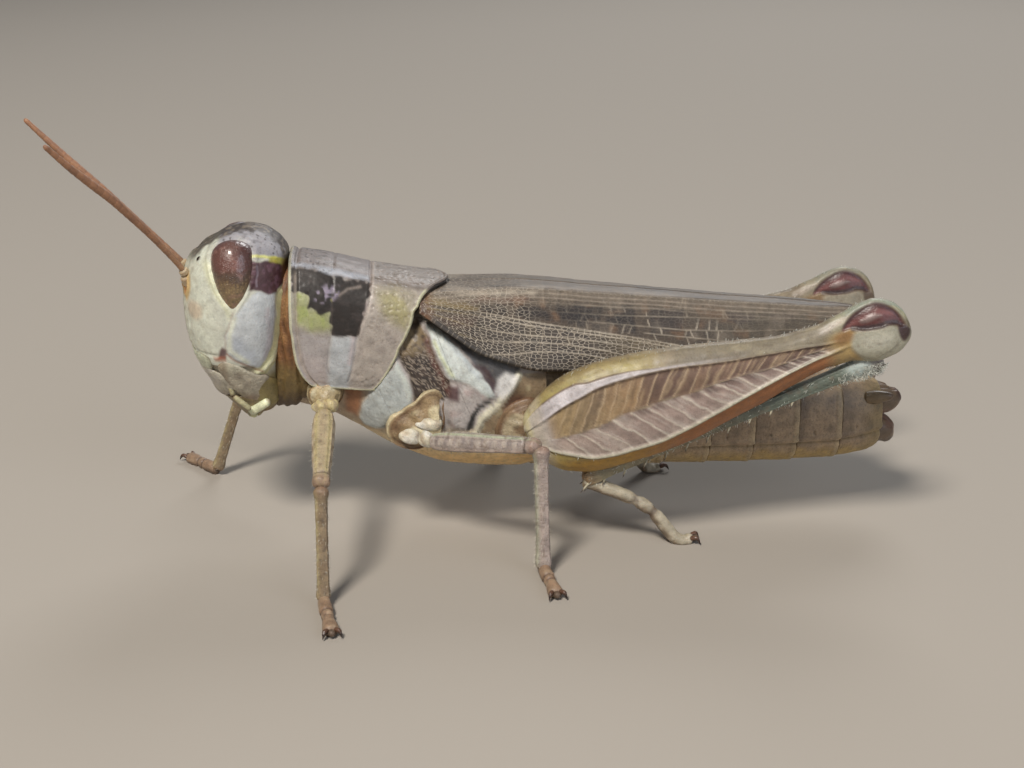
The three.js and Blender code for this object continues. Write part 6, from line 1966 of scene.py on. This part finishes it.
def build_stage(settings):
    """A pale floor, soft lamps, and the camera."""
    mesh = bpy.data.meshes.new("floor")
    reach = 1.2
    mesh.from_pydata([(-reach, -reach, 0), (reach, -reach, 0), (reach, reach, 0), (-reach, reach, 0)],
                     [], [(0, 1, 2, 3)])
    floor = bpy.data.objects.new("floor", mesh)
    bpy.context.scene.collection.objects.link(floor)
    paper = bpy.data.materials.new("matt_paper")
    paper.use_nodes = True
    shader = paper.node_tree.nodes["Principled BSDF"]
    shader.inputs["Base Color"].default_value = (*settings.floor_colour, 1)
    shader.inputs["Roughness"].default_value = 0.9
    mesh.materials.append(paper)
    world = bpy.context.scene.world or bpy.data.worlds.new("studio")
    bpy.context.scene.world = world
    world.use_nodes = True
    sky = world.node_tree.nodes["Background"]
    sky.inputs["Color"].default_value = (*linear("#dfe6ee"), 1)
    sky.inputs["Strength"].default_value = 0.17
    aim = np.array([0.0, 0.0, 0.006])  # metres, as are the lamps' places and sizes
    for name, place, size, watts, colour in (
            ("key_lamp", (-0.09, -0.17, 0.26), 0.075, settings.lamp_power * 0.78, "#fff8ee"),
            ("fill_lamp", (0.22, -0.25, 0.14), 0.25, settings.lamp_power * 0.25, "#eef3ff"),
            ("back_lamp", (0.10, 0.26, 0.22), 0.16, settings.lamp_power * 0.3, "#ffffff")):
        lamp = bpy.data.objects.new(name, bpy.data.lights.new(name, "AREA"))
        lamp.data.shape = "DISK"
        lamp.data.size = size
        lamp.data.energy = watts
        lamp.data.color = linear(colour)
        lamp.location = place
        lamp.rotation_euler = look(aim - np.array(place))
        bpy.context.scene.collection.objects.link(lamp)
    camera = bpy.data.objects.new("camera", bpy.data.cameras.new("camera"))
    camera.data.sensor_width = 36
    camera.data.lens = CAMERA_LENS
    camera.data.clip_start, camera.data.clip_end = 0.002, 4
    azimuth, elevation = (math.radians(turn) for turn in CAMERA_TURN)
    back = np.array([math.sin(azimuth) * math.cos(elevation),
                     -math.cos(azimuth) * math.cos(elevation), math.sin(elevation)])
    camera.location = (CAMERA_PLACE + BODY_TO_ROW) / MM
    camera.rotation_euler = look(-back)
    bpy.context.scene.collection.objects.link(camera)
    bpy.context.scene.camera = camera
    bpy.context.scene.view_settings.view_transform = "Standard"


def look(way):
    """The turn that points a lamp or camera along a direction."""
    return Vector(way).to_track_quat("-Z", "Y").to_euler()


# ---- The add-on: settings, one operator for each piece or group of pieces, and a panel ----
def colour_property(name, description, hex_colour):
    return bpy.props.FloatVectorProperty(
        name=name, description=description, subtype="COLOR", size=3, min=0, max=1,
        default=tuple(float(v) for v in linear(hex_colour)))


class GrasshopperSettings(bpy.types.PropertyGroup):
    """Sizes and colours of the animal that a user may change."""
    antenna_radius: bpy.props.FloatProperty(
        name="Feeler radius", description="Half the thickness of a feeler's whip", unit="LENGTH",
        subtype="DISTANCE", default=0.000125, min=0.00005, max=0.0003, precision=6)
    hair_length: bpy.props.FloatProperty(
        name="Hair length", description="Length of the hairs under the folded shins",
        unit="LENGTH", subtype="DISTANCE", default=0.00042, min=0.0001, max=0.001, precision=6)
    keel_height: bpy.props.FloatProperty(
        name="Keel height", description="How far the jumping thigh's keels stand out",
        unit="LENGTH", subtype="DISTANCE", default=0.00009, min=0.0, max=0.0003, precision=6)
    eye_colour: colour_property("Eye", "The eye's main colour", "#5e4632")
    mark_colour: colour_property("Saddle mark", "The dark mark on the saddle's side", "#1c1410")
    flash_colour: colour_property("Saddle flash", "The patch under the dark mark", "#8f955c")
    stripe_colour: colour_property("Side stripe", "The slanting pale stripe", "#c2c8c4")
    antenna_colour: colour_property("Feelers", "The whip of each feeler", "#946b4e")
    crescent_colour: colour_property("Knee crescent", "The dark arch on each knee", "#532a28")


class StageSettings(bpy.types.PropertyGroup):
    """The floor and the lamps."""
    floor_colour: colour_property("Floor", "The plain floor's colour", "#a49d94")
    lamp_power: bpy.props.FloatProperty(
        name="Lamp power", description="Power of the main lamp", unit="POWER", default=1.35,
        min=0.1, max=20)


class GRASSHOPPER_OT_stage(bpy.types.Operator):
    """Lay the floor, hang the lamps and place the camera."""
    bl_idname = "grasshopper.stage"
    bl_label = "Stage"

    def execute(self, context):
        build_stage(context.scene.grasshopper_stage)
        return {"FINISHED"}


class GRASSHOPPER_OT_head(bpy.types.Operator):
    """Make the head capsule."""
    bl_idname = "grasshopper.head"
    bl_label = "Head"

    def execute(self, context):
        build_head()
        return {"FINISHED"}


class GRASSHOPPER_OT_eyes(bpy.types.Operator):
    """Make the two compound eyes."""
    bl_idname = "grasshopper.eyes"
    bl_label = "Eyes"

    def execute(self, context):
        for name, side in SIDES:
            build_eye(context.scene.grasshopper, name, side)
        return {"FINISHED"}


class GRASSHOPPER_OT_neck(bpy.types.Operator):
    """Make the folded skin between the head and the saddle."""
    bl_idname = "grasshopper.neck"
    bl_label = "Neck"

    def execute(self, context):
        build_neck()
        return {"FINISHED"}


class GRASSHOPPER_OT_mouthparts(bpy.types.Operator):
    """Make the lips, jaws and palps."""
    bl_idname = "grasshopper.mouthparts"
    bl_label = "Mouthparts"

    def execute(self, context):
        build_mouthparts()
        return {"FINISHED"}


class GRASSHOPPER_OT_antennae(bpy.types.Operator):
    """Make the two feelers."""
    bl_idname = "grasshopper.antennae"
    bl_label = "Feelers"

    def execute(self, context):
        build_antennae(context.scene.grasshopper)
        return {"FINISHED"}


class GRASSHOPPER_OT_pronotum(bpy.types.Operator):
    """Make the saddle behind the head."""
    bl_idname = "grasshopper.pronotum"
    bl_label = "Saddle"

    def execute(self, context):
        build_pronotum(context.scene.grasshopper)
        return {"FINISHED"}


class GRASSHOPPER_OT_thorax(bpy.types.Operator):
    """Make the three sections of the thorax."""
    bl_idname = "grasshopper.thorax"
    bl_label = "Side plates"

    def execute(self, context):
        build_thorax(context.scene.grasshopper)
        return {"FINISHED"}


class GRASSHOPPER_OT_abdomen(bpy.types.Operator):
    """Make the eight rings of the abdomen."""
    bl_idname = "grasshopper.abdomen"
    bl_label = "Abdomen"

    def execute(self, context):
        build_abdomen()
        return {"FINISHED"}


class GRASSHOPPER_OT_tail(bpy.types.Operator):
    """Make the egg-laying valves and the tail feelers."""
    bl_idname = "grasshopper.tail"
    bl_label = "Tail"

    def execute(self, context):
        build_tail()
        return {"FINISHED"}


class GRASSHOPPER_OT_tegmina(bpy.types.Operator):
    """Make the two veined wing covers."""
    bl_idname = "grasshopper.tegmina"
    bl_label = "Wing covers"

    def execute(self, context):
        for name, side in SIDES:
            build_tegmen(name, side)
        return {"FINISHED"}


class GRASSHOPPER_OT_hind_wings(bpy.types.Operator):
    """Finish the folded hind wings."""
    bl_idname = "grasshopper.hind_wings"
    bl_label = "Hind wings"

    def execute(self, context):
        build_hind_wings()
        return {"FINISHED"}


class GRASSHOPPER_OT_coxae(bpy.types.Operator):
    """Make the six joints between body and thighs."""
    bl_idname = "grasshopper.coxae"
    bl_label = "Hip joints"

    def execute(self, context):
        for pair, (name, side) in itertools.product(COXAE, SIDES):
            build_coxa(pair, name, side)
        return {"FINISHED"}


class GRASSHOPPER_OT_walking_legs(bpy.types.Operator):
    """Make the thighs, shins and feet of the four walking legs."""
    bl_idname = "grasshopper.walking_legs"
    bl_label = "Walking legs"

    def execute(self, context):
        for pair, (name, side) in itertools.product(("fore", "mid"), SIDES):
            build_walking_leg(pair, name, side)
        return {"FINISHED"}


class GRASSHOPPER_OT_jumping_thighs(bpy.types.Operator):
    """Make the two clubbed thighs with their herringbone bars."""
    bl_idname = "grasshopper.jumping_thighs"
    bl_label = "Jumping thighs"

    def execute(self, context):
        for name, side in SIDES:
            build_jumping_thigh(context.scene.grasshopper, name, side)
        return {"FINISHED"}


class GRASSHOPPER_OT_jumping_shins(bpy.types.Operator):
    """Make the two folded shins with their spines, and the feet."""
    bl_idname = "grasshopper.jumping_shins"
    bl_label = "Jumping shins"

    def execute(self, context):
        for name, side in SIDES:
            build_jumping_shin(name, side)
        return {"FINISHED"}


class GRASSHOPPER_OT_hairs(bpy.types.Operator):
    """Set the fringes and the short hairs."""
    bl_idname = "grasshopper.hairs"
    bl_label = "Hairs"

    def execute(self, context):
        build_hairs(context.scene.grasshopper)
        return {"FINISHED"}


OPERATORS = (
    GRASSHOPPER_OT_stage,
    GRASSHOPPER_OT_head,
    GRASSHOPPER_OT_eyes,
    GRASSHOPPER_OT_neck,
    GRASSHOPPER_OT_mouthparts,
    GRASSHOPPER_OT_antennae,
    GRASSHOPPER_OT_pronotum,
    GRASSHOPPER_OT_thorax,
    GRASSHOPPER_OT_abdomen,
    GRASSHOPPER_OT_tail,
    GRASSHOPPER_OT_tegmina,
    GRASSHOPPER_OT_hind_wings,
    GRASSHOPPER_OT_coxae,
    GRASSHOPPER_OT_walking_legs,
    GRASSHOPPER_OT_jumping_thighs,
    GRASSHOPPER_OT_jumping_shins,
    GRASSHOPPER_OT_hairs,
)


class GRASSHOPPER_PT_panel(bpy.types.Panel):
    """Lists the settings and the pieces in the order in which they are made."""
    bl_idname = "GRASSHOPPER_PT_panel"
    bl_label = "Grasshopper"
    bl_space_type = "VIEW_3D"
    bl_region_type = "UI"
    bl_category = "Grasshopper"

    def draw(self, context):
        for group in (context.scene.grasshopper, context.scene.grasshopper_stage):
            for field in group.__annotations__:
                self.layout.prop(group, field)
        for made in OPERATORS:
            self.layout.operator(made.bl_idname)


CLASSES = (GrasshopperSettings, StageSettings, *OPERATORS, GRASSHOPPER_PT_panel)


def register():
    for made in CLASSES:
        bpy.utils.register_class(made)
    bpy.types.Scene.grasshopper = bpy.props.PointerProperty(type=GrasshopperSettings)
    bpy.types.Scene.grasshopper_stage = bpy.props.PointerProperty(type=StageSettings)


def unregister():
    del bpy.types.Scene.grasshopper_stage
    del bpy.types.Scene.grasshopper
    for made in reversed(CLASSES):
        bpy.utils.unregister_class(made)


def main():
    """Registers the add-on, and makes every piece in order."""
    register()
    for made in OPERATORS:
        group, action = made.bl_idname.split(".")
        getattr(getattr(bpy.ops, group), action)()
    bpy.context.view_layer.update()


if __name__ == "__main__":
    main()
